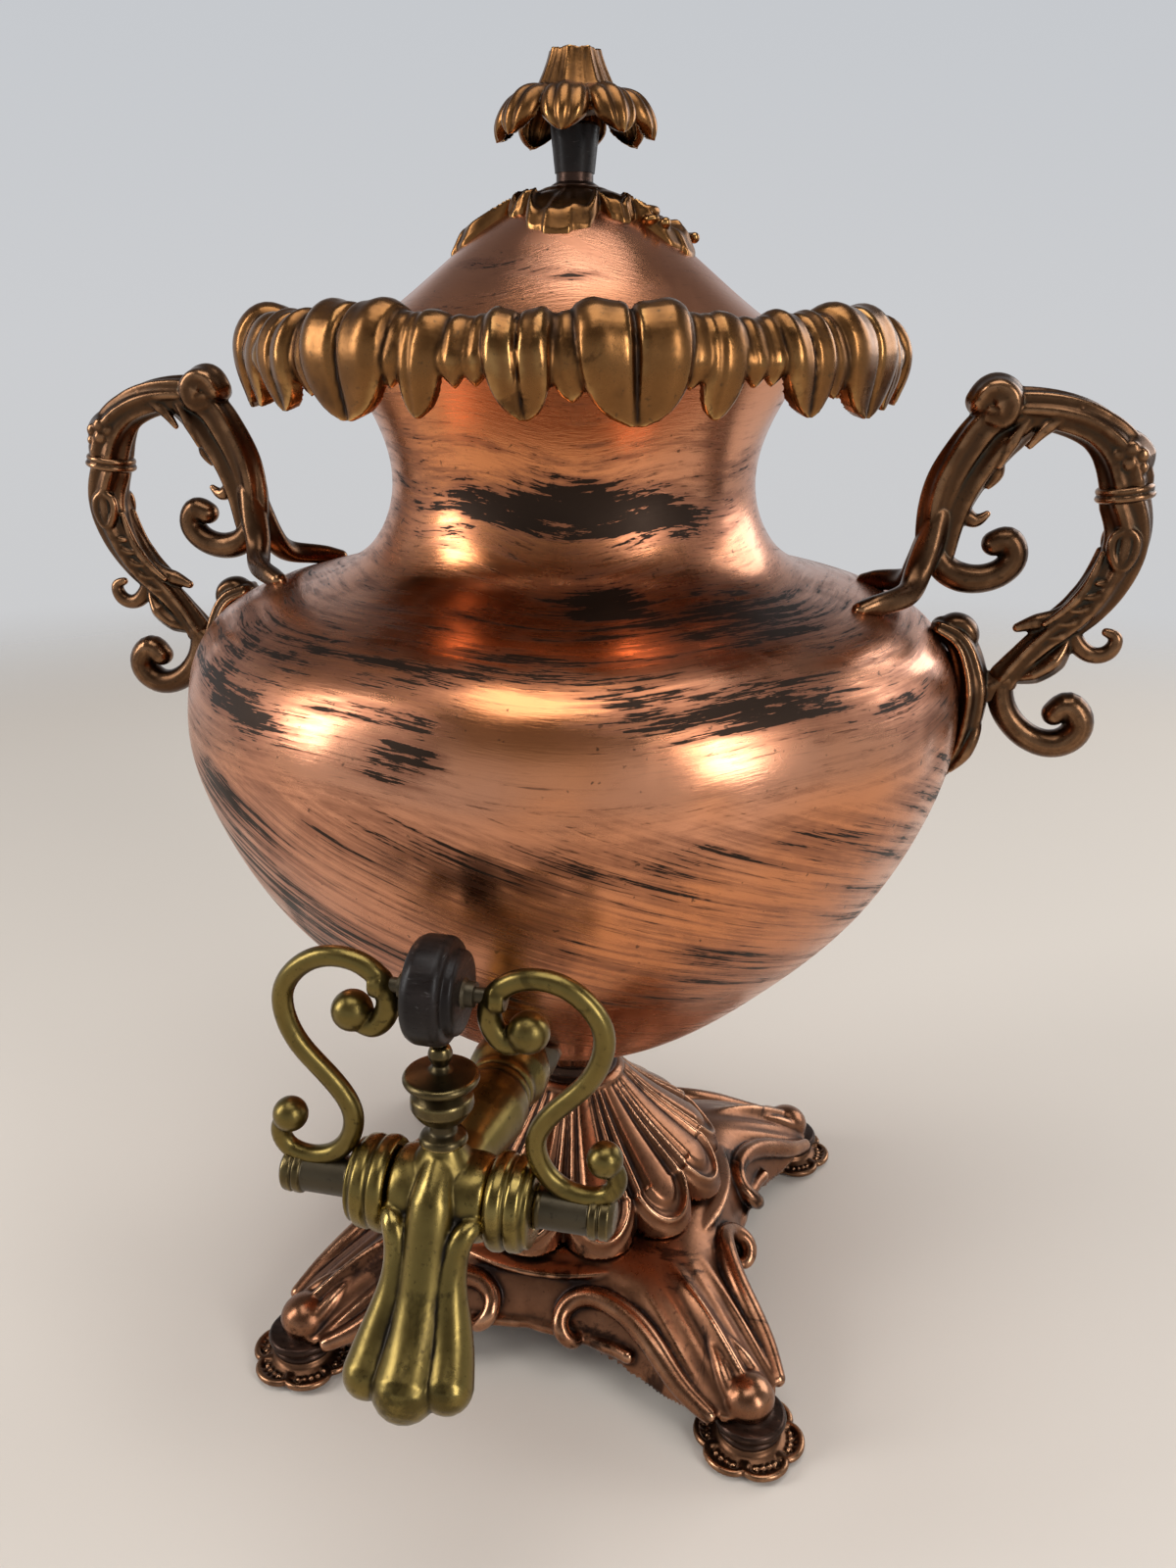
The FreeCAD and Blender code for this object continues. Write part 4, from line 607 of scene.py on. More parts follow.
# dents of the copper: azimuth, height, spread and depth
DENTS = [(12, 236, 7, 0.9), (30, 232, 5, 0.8), (42, 226, 9, 0.8), (-8, 214, 12, 0.7), (70, 236, 8, 1.0),
         (-58, 262, 9, 0.8), (-62, 236, 10, 0.7), (4, 190, 14, 0.6), (-30, 226, 14, 0.6),
         (110, 225, 10, 0.8), (160, 232, 11, 0.8), (-140, 228, 12, 0.7)]
# lacquer left on the vessel, together with painted dark reflections such as the dark band at the neck's
# base and darker bands on the bowl: azimuth, height, half-width in degrees, half-height in mm and strength
LACQUER_AND_PAINTED_REFLECTION = [(8, 302, 38, 7.5, 0.40), (42, 298, 16, 6, 0.14), (-30, 268, 26, 6, 0.10),
           (20, 279, 10, 4.5, 0.32), (50, 275, 18, 5, 0.20), (-50, 258, 26, 7, 0.10), (4, 267, 34, 3, 0.14),
           (36, 259, 24, 5, 0.24), (62, 252, 16, 5, 0.18), (-6, 249, 6, 9, 0.26), (-34, 250, 12, 7, 0.18),
           (-42, 215, 12, 30, 0.12), (-32, 178, 12, 22, 0.18), (70, 200, 16, 26, 0.10),
           (36, 172, 12, 16, 0.08), (20, 266, 80, 12, 0.03), (6, 222, 60, 9, 0.13), (0, 186, 80, 12, 0.05),
           (120, 240, 50, 24, 0.08), (-130, 240, 50, 24, 0.08), (180, 260, 40, 16, 0.10),
           (6, 255, 7, 7, -0.40), (24, 244, 22, 5, -0.16), (20, 330, 60, 12, -0.12)]


def copper_marks(piece, run, steep_heights, spots, base):
    """Give a spun copper piece its brushing directions and its share of lacquer and painted dark
    reflection.

    run(radius, height) is the way along the outline in mm. Between the two steep_heights the
    brushing changes from level to steep.
    """
    mesh = piece.data
    x, y, z = read_vectors(mesh.vertices, "co").T / MM
    azimuth = np.arctan2(x, -y)
    length = run(np.hypot(x, y), z)
    drift = 0.02 * length
    level = np.stack([2.1 * np.cos(azimuth), 2.1 * np.sin(azimuth), 0.30 * length], axis=1)
    level[:, 2] += 0.9 * np.sin(3 * azimuth + 0.7) + 0.5 * np.sin(7 * azimuth)
    steep = np.stack([16 * np.cos(azimuth + drift), 16 * np.sin(azimuth + drift), 0.030 * length], axis=1)
    steep_from, steep_to = steep_heights
    slope = np.clip((steep_from - z) / (steep_from - steep_to), 0, 1)
    share = np.full(len(z), float(base))
    for middle, height, wide, tall, strength in spots:
        turn = np.degrees(np.angle(np.exp(1j * (azimuth - math.radians(middle)))))
        share += strength * np.exp(-((turn / wide) ** 2 + ((z - height) / tall) ** 2))
    for name, kind, values in (("level", "FLOAT_VECTOR", level), ("steep", "FLOAT_VECTOR", steep),
                               ("slope", "FLOAT", slope), ("lacquer_and_painted_reflection", "FLOAT", share)):
        layer = mesh.attributes.new(name, kind, "POINT")
        layer.data.foreach_set("vector" if kind == "FLOAT_VECTOR" else "value",
                               values.astype(np.float32).ravel())


def dented(points, dents):
    """Points of a turned shape pushed in at its dents."""
    out = points.copy()
    azimuth = np.arctan2(points[:, 0], -points[:, 1])
    radius = np.hypot(points[:, 0], points[:, 1])
    for middle, height, spread, depth in dents:
        turn = np.angle(np.exp(1j * (azimuth - math.radians(middle))))
        far = (turn * radius) ** 2 + (points[:, 2] - height) ** 2
        push = depth * np.exp(-far / spread ** 2)
        out[:, 0] -= push * np.sin(azimuth)
        out[:, 1] += push * np.cos(azimuth)
    return out


def spun_copper(name, outside, inside, dents, steps):
    """Dented shell turned from its outside and its inside, closed on the axis."""
    inside[0, 0] = 0
    points, faces = lathe(np.concatenate([outside, inside[::-1]]), steps)
    return object_of(name, (dented(points, dents), faces))


def make_vessel():
    """Bowl, shoulder and neck in one skin."""
    outside = smooth_path(VESSEL, 260)
    inside = outside + VESSEL_WALL * left_of(outside)
    piece = spun_copper("copper_vessel", outside, inside[inside[:, 0] > 0], DENTS, 320)
    length = travelled(outside)
    copper_marks(piece, lambda radius, height: np.interp(height, outside[:, 1], length), VESSEL_STEEP,
                 LACQUER_AND_PAINTED_REFLECTION, 0.0)
    show(piece, "urn", COPPER, "vessel_body")


LID_EDGE = 345.85
LID = [(0, LID_EDGE + 42.2), (14, LID_EDGE + 40), (36, LID_EDGE + 26.6), (60.7, LID_EDGE + 7.2),
       (70.4, LID_EDGE + 1.1)]
LID_WALL = 1.1
LID_POINTS = 90
# under the whole lid, so that it is brushed level all over
LID_STEEP = (300, 299)
LID_LACQUER = [(-22, 367.5, 22, 2.2, 0.40), (10, 364.5, 16, 2.0, 0.40), (-40, 356, 30, 3, 0.20)]
LID_DENTS = [(-30, 362, 12, 0.5), (44, 360, 10, 0.5)]


def make_lid():
    """Spun dome of the lid."""
    outside = smooth_path(LID, LID_POINTS)
    piece = spun_copper("copper_lid", outside, outside - LID_WALL * left_of(outside), LID_DENTS, 256)
    copper_marks(piece, lambda radius, height: 1.2 * radius, LID_STEEP, LID_LACQUER, -0.15)
    show(piece, "lid", COPPER, "lid_dome")


# Leaf collar under the lid

# leaves of one eighth of the collar: azimuth, half-width, top and tip heights, sideways lean and lobes
COLLAR_LEAVES = [(0.0, 13.2, 354.2, 327.6, 1.0, 2), (9.4, 4.4, 351.2, 336.5, -1.5, 1),
                 (14.0, 5.4, 351.6, 328.8, -2.0, 1), (18.8, 3.9, 350.4, 336.8, 0.5, 1),
                 (22.6, 3.9, 350.6, 337.2, -0.5, 1), (28.4, 7.8, 352.0, 329.0, 2.0, 2),
                 (35.4, 5.2, 351.4, 333.5, 1.5, 1)]
COLLAR_GROUPS = 8
FIRST_BIG_LEAF = 22.0


def collar_leaf(azimuth, half, top, tip, lean, lobes):
    """One hanging leaf of the collar, rounded across in one or two lobes."""
    reach = 101.2 if lobes == 2 else 99.4
    spine = [(79, 343.5), (86, top - 3.2), (93.5, top), (reach - 1.2, top - 5.5),
             (reach, (top + tip) / 2 - 1), (reach - 2.6, tip)]

    def width(t):
        return half * (1.06 + 0.06 * np.sin(math.pi * unit(t * 1.15))) * pointed(t, 0.60, 0.40, 0.02)

    def relief(s, t):
        across = np.abs(s)
        if lobes == 2:
            bulge = np.sqrt(unit(1 - (2 * across - 1) ** 2)) ** 0.8
            height = 3.1 * bulge - 0.9 * hump(across, 0, 0.07) + 0.6 * np.cos(across * 9.5) * unit(1 - t)
        else:
            height = 3.0 * np.sqrt(unit(1 - 0.92 * s ** 2)) - 0.7 * hump(s, -0.35, 0.13)
        return height * (0.55 + 0.45 * np.sin(math.pi * unit(t + 0.1)))

    points, faces = leaf(spine, width, relief, 4.2, azimuth, 30, 25 if lobes == 2 else 15)
    tip_share = unit((top - points[:, 2]) / (top - tip)) ** 2
    radius = np.hypot(points[:, 0], points[:, 1])
    turn = np.arctan2(points[:, 0], -points[:, 1]) + lean * tip_share / radius
    return ringed(turn[:, None], radius[:, None], points[:, 2:])[:, 0], faces


def make_collar():
    """Ring of hanging leaves round the mouth."""
    parts = [
        turning([(76.6, 341.8), (85, 341.4), (92, 341.5), (97.2, 343.5), (96.5, 348), (90, 350.4),
                 (82, 348.5), (76.8, 345)], 2.0, 200, True),
    ]
    for group in range(COLLAR_GROUPS):
        turn = FIRST_BIG_LEAF + 360 / COLLAR_GROUPS * group
        parts += [collar_leaf(turn + azimuth, *shape) for azimuth, *shape in COLLAR_LEAVES]
    show_casting("leaf_collar", parts, 0.6, (22, 1.1), "urn", COLLAR_BRASS, "rim_collar",
                 smooth=2)


# Lid furniture

def lid_height(radius):
    """Height of the lid's outside at a radius."""
    outside = smooth_path(LID, LID_POINTS)
    return np.interp(radius, outside[:, 0], outside[:, 1])


# arms of the leaf cap: azimuth, half-angle and reach
CAP_ARMS = [(-78, 24, 38), (4, 30, 32), (48, 15, 27), (82, 24, 38), (132, 22, 34), (180, 25, 37),
            (-136, 22, 33), (-38, 15, 24)]


def make_leaf_cap():
    """Acanthus leaves draped over the crown of the lid, with rolled edges."""
    steps, rows, hub = 360, 60, 17
    azimuth = np.linspace(-180, 180, steps, endpoint=False)
    angle = np.radians(azimuth)
    reach = np.full(steps, float(hub))
    vein = np.zeros(steps)
    for middle, half, length in CAP_ARMS:
        off = np.abs((azimuth - middle + 180) % 360 - 180) / half
        lobe = unit(1 - off ** 2.6) ** 0.6
        ripple = 1 - 0.07 * np.abs(np.sin(off * 5.2)) * (off > 0.25)
        reach = np.maximum(reach, hub + (length - hub) * lobe * ripple)
        vein += hump(off, 0, 0.16)
    share = np.linspace(0, 1, rows)[:, None]
    radius = share * reach
    fold = np.sin(angle * 13 + 0.6) + 0.5 * np.sin(angle * 23 + 2)
    roll = 2.0 * hump(share, 0.90, 0.07) * (1 + 0.25 * np.sin(angle * 9))
    body = 2.6 + 0.7 * fold * unit(share * 1.6 - 0.5) - 1.0 * vein * unit(share * 2 - 0.5)
    body = body + 1.6 * unit(1 - share / 0.45)
    lift = np.maximum(body + roll, 1.4) * np.sqrt(unit((1.02 - share) / 0.08))
    ground = lid_height(radius)
    upper, lower = ringed(angle, radius, ground + lift), ringed(angle, radius, ground - 1.0)
    parts = [part_of(np.concatenate([upper, lower[::-1]]), grid_faces(2 * rows, steps, False, True)),
             turning([(0, 386), (11, 386), (10.2, 390.2), (6.4, 391.2), (0, 391.2)], 0.8, 64)]
    for middle, reach_out, side in ((66, 29, 1), (70, 24, -1), (96, 33, 1)):
        spot = turn_z(np.array([[0, -reach_out, 0]], float), middle)[0]
        base = lid_height(reach_out)
        ring = []
        for a in np.linspace(0, 5.6, 9):
            swing = (3.6 * math.cos(a) * (1 - a / 9), 3.6 * math.sin(a) * (1 - a / 9) * side,
                     base + 1.8 + 0.22 * a)
            ring.append(spot + np.array(swing))
        parts.append(limb(ring, np.linspace(1.7, 0.9, 9), 30, 12))
    show_casting("leaf_cap", parts, 0.45, (14, 0.8), "lid", COLLAR_BRASS, "lid_leaf_cap")


FLOWER_TOP = 427.9
# petals of the flower: radius and drop below its top
PETAL = [(8, 11.5), (13, 11.2), (18.2, 12.6), (22, 16.6), (23.6, 21.5), (23.0, 24.6)]


def make_flower():
    """Fluted cone with eight drooping petals."""
    steps, rows, end_rows = 320, 40, 8
    angle = np.linspace(0, 2 * math.pi, steps, endpoint=False)[None, :]
    share = np.linspace(0, 1, rows)[:, None]
    flute = np.sqrt(np.abs(np.cos(4 * angle))) * 0.95 + 0.28 * np.cos(16 * angle)
    radius = 6.9 + 5.0 * share ** 1.25 + flute * (0.75 + 0.65 * share)
    height = FLOWER_TOP - 0.9 - 12.4 * share + 0.55 * np.abs(np.cos(4 * angle)) * (1 - share) ** 6
    inward = np.linspace(0, 1, end_rows)[:, None]
    crown = ringed(angle, inward * radius[0], height[0] - 1.6 * unit(1 - inward) ** 0.5)
    floor = ringed(angle, inward[::-1] * radius[-1], height[-1])
    cone = np.concatenate([crown, ringed(angle, radius, height), floor])
    parts = [part_of(cone, grid_faces(rows + 2 * end_rows, steps, False, True))]

    def width(t):
        return 1.04 * (4.3 + 3.6 * np.sin(math.pi * unit(t) * 0.62)) * pointed(t, 0.55, 0.45, 0.03)

    def relief(s, t):
        ridged = 1.3 * np.abs(np.cos(1.5 * math.pi * s)) ** 0.7 - 2.3 * s ** 2
        return ridged * (0.5 + 0.5 * unit(2 * t)) - 0.2

    spine = [(radius, FLOWER_TOP - drop) for radius, drop in PETAL]
    parts += [leaf(spine, width, relief, 1.7, 4.6 + 45 * index, 26, 21) for index in range(8)]
    root = [(0, 17), (7.4, 17), (10.5, 12), (0, 12)]
    parts.append(lathe([(radius, FLOWER_TOP - drop) for radius, drop in root], 48))
    show_casting("flower", parts, 0.38, (16, 0.7), "lid", COLLAR_BRASS, "finial_flower")


# Handles

def strand(points, radii, steps=44, around=20, y=0.0, **style):
    """Limb through (x, z) points in the plane of the handles, or beside it."""
    return limb([(x, y, z) for x, z in points], radii, steps, around, **style)


# one of the two feet of the right handle's upper casting
HANDLE_FOOT = [(115.6, 0.6, 297), (113.2, 3.2, 287), (110.6, 6.4, 279.5), (108.4, 11.5, 275.0),
               (104, 17.5, 273.4), (98.5, 22.5, 272.4), (94.6, 25.2, 271.4)]
# two stems that lie on each side of the right handle's bracket
BRACKET_STEMS = [([(131.5, 2, 240), (132.6, 6.6, 232), (130.2, 8.6, 223.8), (126.4, 6.2, 217.4)],
                  [1.5, 2.3, 2.3, 1.2]),
                 ([(126.0, 3, 256), (129.6, 6.4, 250), (131.4, 7.4, 243), (131.2, 6.4, 236)],
                  [1.3, 2.2, 2.2, 1.2])]


def handle_upper():
    """Arch, inner spine, curls and feet of the right handle's upper casting."""
    parts = [
        strand([(132.5, 329.6), (140, 329.2), (148.5, 327.8), (158.5, 323.6), (165, 317), (168, 309)],
               [4.9, 5.1, 5.2, 5.3, 6.3, 6.6], 90, 56, ribs=7, depth=0.20, twist=0.8),
        strand([(124.5, 330.5), (128, 333.6), (131.4, 331.6), (130.6, 327.6), (127.8, 327.8)],
               [4.2, 4.9, 5.3, 5.0, 4.4], 30, 32, ribs=5, depth=0.16, twist=0.5, flat=1.35),
        strand([(136, 328), (129.2, 325.9), (121.8, 317.4), (116.4, 307), (114.2, 295.7), (114.4, 285.1)],
               [4.2, 4.7, 4.7, 4.7, 4.4, 4.2], 80, 48, ribs=5, depth=0.24, twist=0.9),
        strand([(141, 326.5), (134.5, 321), (128, 313), (122.5, 303), (119.6, 293), (118.4, 286)],
               [3.0, 3.9, 3.9, 3.6, 3.2, 3.0], 60, 32, ribs=4, depth=0.24, twist=0.6),
        strand([(115, 288), (118.2, 281.6), (124, 278.4), (131, 278.4), (136.6, 281.2), (139.0, 286),
                (136.6, 290.2), (132.8, 289.2)], [3.6, 4.4, 4.6, 4.4, 4.3, 4.3, 4.3, 3.9], y=0.20,
               flat=1.15),
        strand([(124.5, 318), (129.4, 314.6), (130.9, 309.9), (129.3, 306.4)], [3.4, 3.2, 2.5, 1.1]),
        strand([(120.5, 303), (122.6, 298.4), (126.6, 296.0), (129.8, 298.0)], [3.0, 2.9, 2.2, 1.1]),
        strand([(163, 321.0), (167.5, 319.6), (171.3, 316), (172.2, 311.6)], [2.6, 3.6, 3.6, 2.0], 30, 20,
               ribs=4, depth=0.2, flat=1.5),
    ]
    for side in (-1, 1):
        for turn, size in ((0, 2.7), (0.9, 2.3), (-0.9, 2.3), (1.9, 2.0), (-1.9, 2.0)):
            centre = (167.4 + 3.6 * math.sin(turn), side * 5.7, 314.6 + 3.6 * math.cos(turn))
            parts.append(ball(centre, size, (1, 0.62, 1)))
        parts.append(ball((167.4, side * 6.4, 314.6), 2.2, (1, 0.6, 1)))
        for shift in (0.0, 1.0):
            vein = [(152 - 14 * shift, 329 - 3 * shift), (144.5 - 10 * shift, 324.5 - 5 * shift),
                    (139.5 - 8 * shift, 318.6 - 6 * shift)]
            parts.append(strand(vein, [1.3, 2.1, 1.0], y=side * (3.6 - 0.3 * shift)))
        foot = [(x, side * y, z) for x, y, z in HANDLE_FOOT]
        parts.append(limb(foot, [4.2, 4.2, 3.9, 3.6, 3.3, 3.1, 2.6], 80, 28, ribs=3, depth=0.13, twist=1.6))
    return parts


def handle_lower():
    """Lower casting of the right handle, from the ring to the bracket on the bowl."""
    parts = [
        strand([(168.6, 303), (170.6, 296), (170.2, 287.6), (166.4, 277.6), (160.2, 268.6), (151.6, 260.6),
                (145.4, 254.2), (140.2, 247.6)], [6.1, 5.9, 5.8, 5.4, 4.7, 4.0, 3.8, 4.2], 100, 56, ribs=6,
               depth=0.22, twist=1.4),
        strand([(139.4, 247), (140.2, 240.0), (144.6, 232.4), (151.2, 227.6), (158.0, 226.6),
                (163.4, 230.0), (164.2, 235.6), (160.4, 239.2), (156.8, 236.6)],
               [4.0, 4.2, 4.2, 4.3, 4.5, 4.7, 4.7, 4.5, 3.9], y=0.18, flat=1.2),
        strand([(158.0, 264.4), (161.4, 258.6), (166.0, 256.0), (170.6, 257.6), (171.6, 261.8),
                (168.8, 263.4)], [2.8, 2.8, 2.6, 2.5, 2.1, 1.4]),
        strand([(160.0, 272.0), (154.4, 267.2), (148.2, 265.4), (142.6, 263.4)], [3.0, 3.1, 2.7, 1.5]),
        strand([(158, 262), (154.6, 254.4), (148.6, 249.6), (142, 247.2)], [1.4, 3.6, 3.4, 1.6], 36, 24,
               ribs=4, depth=0.2, flat=1.35),
    ]
    for side in (-1, 1):
        ring = [(169.2 + 3.4 * math.sin(a) * (1 + 0.25 * math.cos(a)), side * 5.6,
                 289.5 + 5.6 * math.cos(a)) for a in np.linspace(0.2, 2 * math.pi - 0.2, 12)]
        parts.append(limb(ring, [1.5] * 12, 44, 12))
        for index in range(5):
            x, z = 167.2 - 3.1 * index, 280.5 - 4.4 * index
            parts.append(strand([(x + 3.4, z + 3.6), (x + 0.6, z - 0.6), (x - 3.6, z - 1.4)],
                                [0.9, 1.6, 0.7], y=side * (5.0 - 0.35 * index)))
        parts.append(strand([(164, 288), (158.6, 274), (150, 265.6)], [0.9, 1.7, 0.8], y=side * 3.6))
    return parts


def handle_bracket():
    """Leafy bracket of the right handle against the bowl."""
    parts = [
        strand([(119.4, 262.4), (124.4, 259.6), (128.2, 252.6), (130.0, 243.6), (129.4, 233.6),
                (127.4, 224.4), (123.2, 215.8)], [3.0, 3.8, 4.5, 5.3, 5.3, 4.7, 3.0], 80, 56, ribs=7,
               depth=0.20, twist=0.3, flat=1.9),
        strand([(118.8, 261.6), (123.4, 264.2), (127.8, 262.4), (128.4, 258.2), (125.6, 256.8)],
               [2.3, 3.0, 3.1, 2.7, 2.0], 34, 20, flat=1.7),
        strand([(130, 243), (135.4, 243.6), (140.4, 246.6)], [4.6, 4.4, 4.3], 24, 28, ribs=5, depth=0.12),
    ]
    for side in (-1, 1):
        ring = [(128.6 + 0.7 * math.cos(a), side * (4.6 + 3.6 * math.sin(a)), 224.2 + 5.2 * math.cos(a))
                for a in np.linspace(0.1, 2 * math.pi - 0.1, 12)]
        parts.append(limb(ring, [1.35] * 12, 40, 12))
        for stem, radii in BRACKET_STEMS:
            parts.append(limb([(x, side * y, z) for x, y, z in stem], radii, 36, 16))
    return parts


def handle_ring():
    """Turned double ring between the two castings of the right handle."""
    corners = [(0, -2.5), (7.0, -2.5), (8.6, -1.6), (8.6, -0.4), (7.5, 0), (8.3, 0.5), (8.3, 1.7), (7, 2.5),
               (0, 2.5)]
    return [axis_part(turning(corners, 0.6, 72), (168.3, 0, 305.6), (-0.16, 0, 0.987))]


def make_handles():
    """The four castings of each handle, the left one mirrored from the right one."""
    for name, shape, voxel in (("upper", handle_upper(), 0.44), ("lower", handle_lower(), 0.44),
                               ("bracket", handle_bracket(), 0.44), ("ring", handle_ring(), 0.4)):
        for side, parts in (("right", shape), ("left", [mirrored_part(part) for part in shape])):
            show_casting(f"handle_{name}_casting_{side}", parts, voxel, (14, 0.55), "urn", HANDLE_BRASS,
                         f"handle_{name}_{side}")


# Pedestal

def make_calyx():
    """Petals that cup the bottom of the bowl above a dark neck."""
    steps, rows, petals = 448, 54, 14
    angle = np.linspace(0, 2 * math.pi, steps, endpoint=False)[None, :]
    share = np.linspace(0, 1, rows)[:, None]
    wave = np.abs(np.cos(petals * angle / 2))
    line = smooth_path([(13.6, 93.6), (17.6, 95), (19, 99), (22.6, 104.6), (28.6, 108.4), (35.2, 110.6)],
                       rows)
    flute = 2.1 * wave ** 0.7 - 0.7 + 0.35 * np.cos(petals * 3 * angle)
    tip = 1.3 * unit(share - 0.75) * 4
    radius = line[:, :1] + flute * np.sin(math.pi * unit(share * 0.86 + 0.08)) + tip * (wave - 0.6)
    height = line[:, 1:] - 1.5 * unit(share - 0.8) * 5 * wave
    outer, inner = ringed(angle, radius, height), ringed(angle, radius - 2.2, height + 1.6)
    shell = part_of(np.concatenate([outer, inner[::-1]]), grid_faces(2 * rows, steps, True, True))
    show_casting("petal_cup", [shell], 0.5, (14, 0.9), "urn", PLAIN_COPPER, "calyx")


DOME_LOBES = 12
FIRST_LOBE = 25.0
# radius of the middle of a lobe's round end, the dome's outline and the height of its foot
LOBE_CENTRE = 46.4
DOME_LINE = [(17.4, 85.6), (22.5, 79.5), (31, 70.5), (41.5, 61.2), (52, 51.6), (59.6, 42.6)]
DOME_FOOT = 42.2


def make_lobed_dome():
    """Dome of teardrop lobes, each with a raised rim round a raised middle."""
    steps, rows, wall = 768, 90, 2.4
    azimuth = np.linspace(0, 360, steps, endpoint=False)
    sector = 360 / DOME_LOBES
    off = np.radians((azimuth - FIRST_LOBE + sector / 2) % sector - sector / 2)[None, :]
    half = math.radians(sector / 2)
    lobe = LOBE_CENTRE * math.sin(half) * 1.04
    round_end = np.sqrt(np.clip(lobe ** 2 * 1.12 - (LOBE_CENTRE * np.sin(off)) ** 2, 1.0, None))
    edge = LOBE_CENTRE * np.cos(off) + round_end
    edge = edge * (DOME_LINE[-1][0] / edge.max())
    share = np.linspace(0, 1, rows)[:, None]
    radius = DOME_LINE[0][0] + (edge - DOME_LINE[0][0]) * share
    across, along = radius * np.sin(off), radius * np.cos(off)
    width = radius * math.sin(half) * np.ones_like(off)
    inside = np.where(along > LOBE_CENTRE, lobe * 1.05 - np.hypot(across, along - LOBE_CENTRE),
                      (width - np.abs(across)) * 1.02)
    size = np.clip(width / lobe, 0.3, 1)
    inside = np.clip(inside, 0, None) / size
    middle = 1 / (1 + np.exp(-(inside - 7.0) / 0.55))
    lift = size * (2.9 * hump(inside, 2.7, 1.45) + 2.5 * middle * (0.75 + 0.25 * unit(inside / 12)) + 0.35)
    line = smooth_path(DOME_LINE, 120)
    slope_r, slope_z = np.gradient(line[:, 0]), np.gradient(line[:, 1])
    steep = np.hypot(slope_r, slope_z)
    drop = np.sqrt(unit((1 - share) / 0.02))
    ground = np.interp(radius, line[:, 0], line[:, 1])
    height = ground + np.interp(radius, line[:, 0], slope_r / steep) * lift * drop
    height = np.where(share > 0.999, DOME_FOOT, height)
    radius = radius + np.interp(radius, line[:, 0], -slope_z / steep) * lift * drop * unit((1 - share) * 8)
    angle = np.radians(azimuth)[None, :]
    outer = ringed(angle, radius, height)
    inner = ringed(angle, np.maximum(radius - wall, 14), np.maximum(ground - 2.6, DOME_FOOT))
    shell = part_of(np.concatenate([outer, inner[::-1]]), grid_faces(2 * rows, steps, True, True))
    top = turning([(13.0, 83), (13.0, 87), (17.6, 87.4), (19.8, 85.4), (18.8, 82.6)], 0.8, 96, True)
    show_casting("lobed_dome_skin", [shell, top], 0.55, (18, 1.0), "urn", PLAIN_COPPER, "lobed_dome")


def make_neck():
    """Dark turned neck between the dome and the petals."""
    corners = [(0, 85.4), (16.8, 85.4), (17.2, 87.4), (14.6, 88.6), (14.3, 92), (16.6, 93.4), (17.0, 95.4),
               (14.4, 96.4), (13.8, 99.6), (0, 99.6)]
    show_casting("dark_neck", [turning(corners, 0.7, 96)], 0.4, (10, 0.7), "urn", BLACKENED,
                 "pedestal_neck")


# edge of the base: degrees away from the middle of a leg, and reach from the urn's axis
APRON_AWAY = [0, 4, 7, 9.5, 12, 15, 20, 27, 35, 45]
APRON_EDGE = [117.5, 116, 111, 104, 96, 88, 79.5, 73, 69.5, 67.5]
# scroll along one edge of the front leg, and the lip at its end
LEG_BEAD = [(-33.5, -60.4, 21.6), (-37.6, -63.0, 20.4), (-41.2, -60.6, 24.2), (-37.6, -56.4, 29.6),
            (-31.6, -58.2, 33.0), (-25.6, -66.0, 33.6), (-21.6, -76.0, 31.0), (-19.6, -88, 25.8),
            (-18.0, -99, 20.2), (-14.6, -109.5, 16.0)]
LEG_BEAD_RADII = [1.6, 2.6, 3.0, 3.2, 3.4, 3.8, 4.1, 4.0, 3.6, 2.8]
LEG_LIP = [(2.2, -93, 29.0), (4.6, -103, 24.4), (5.2, -111, 19.2), (3.4, -116.5, 15.4)]


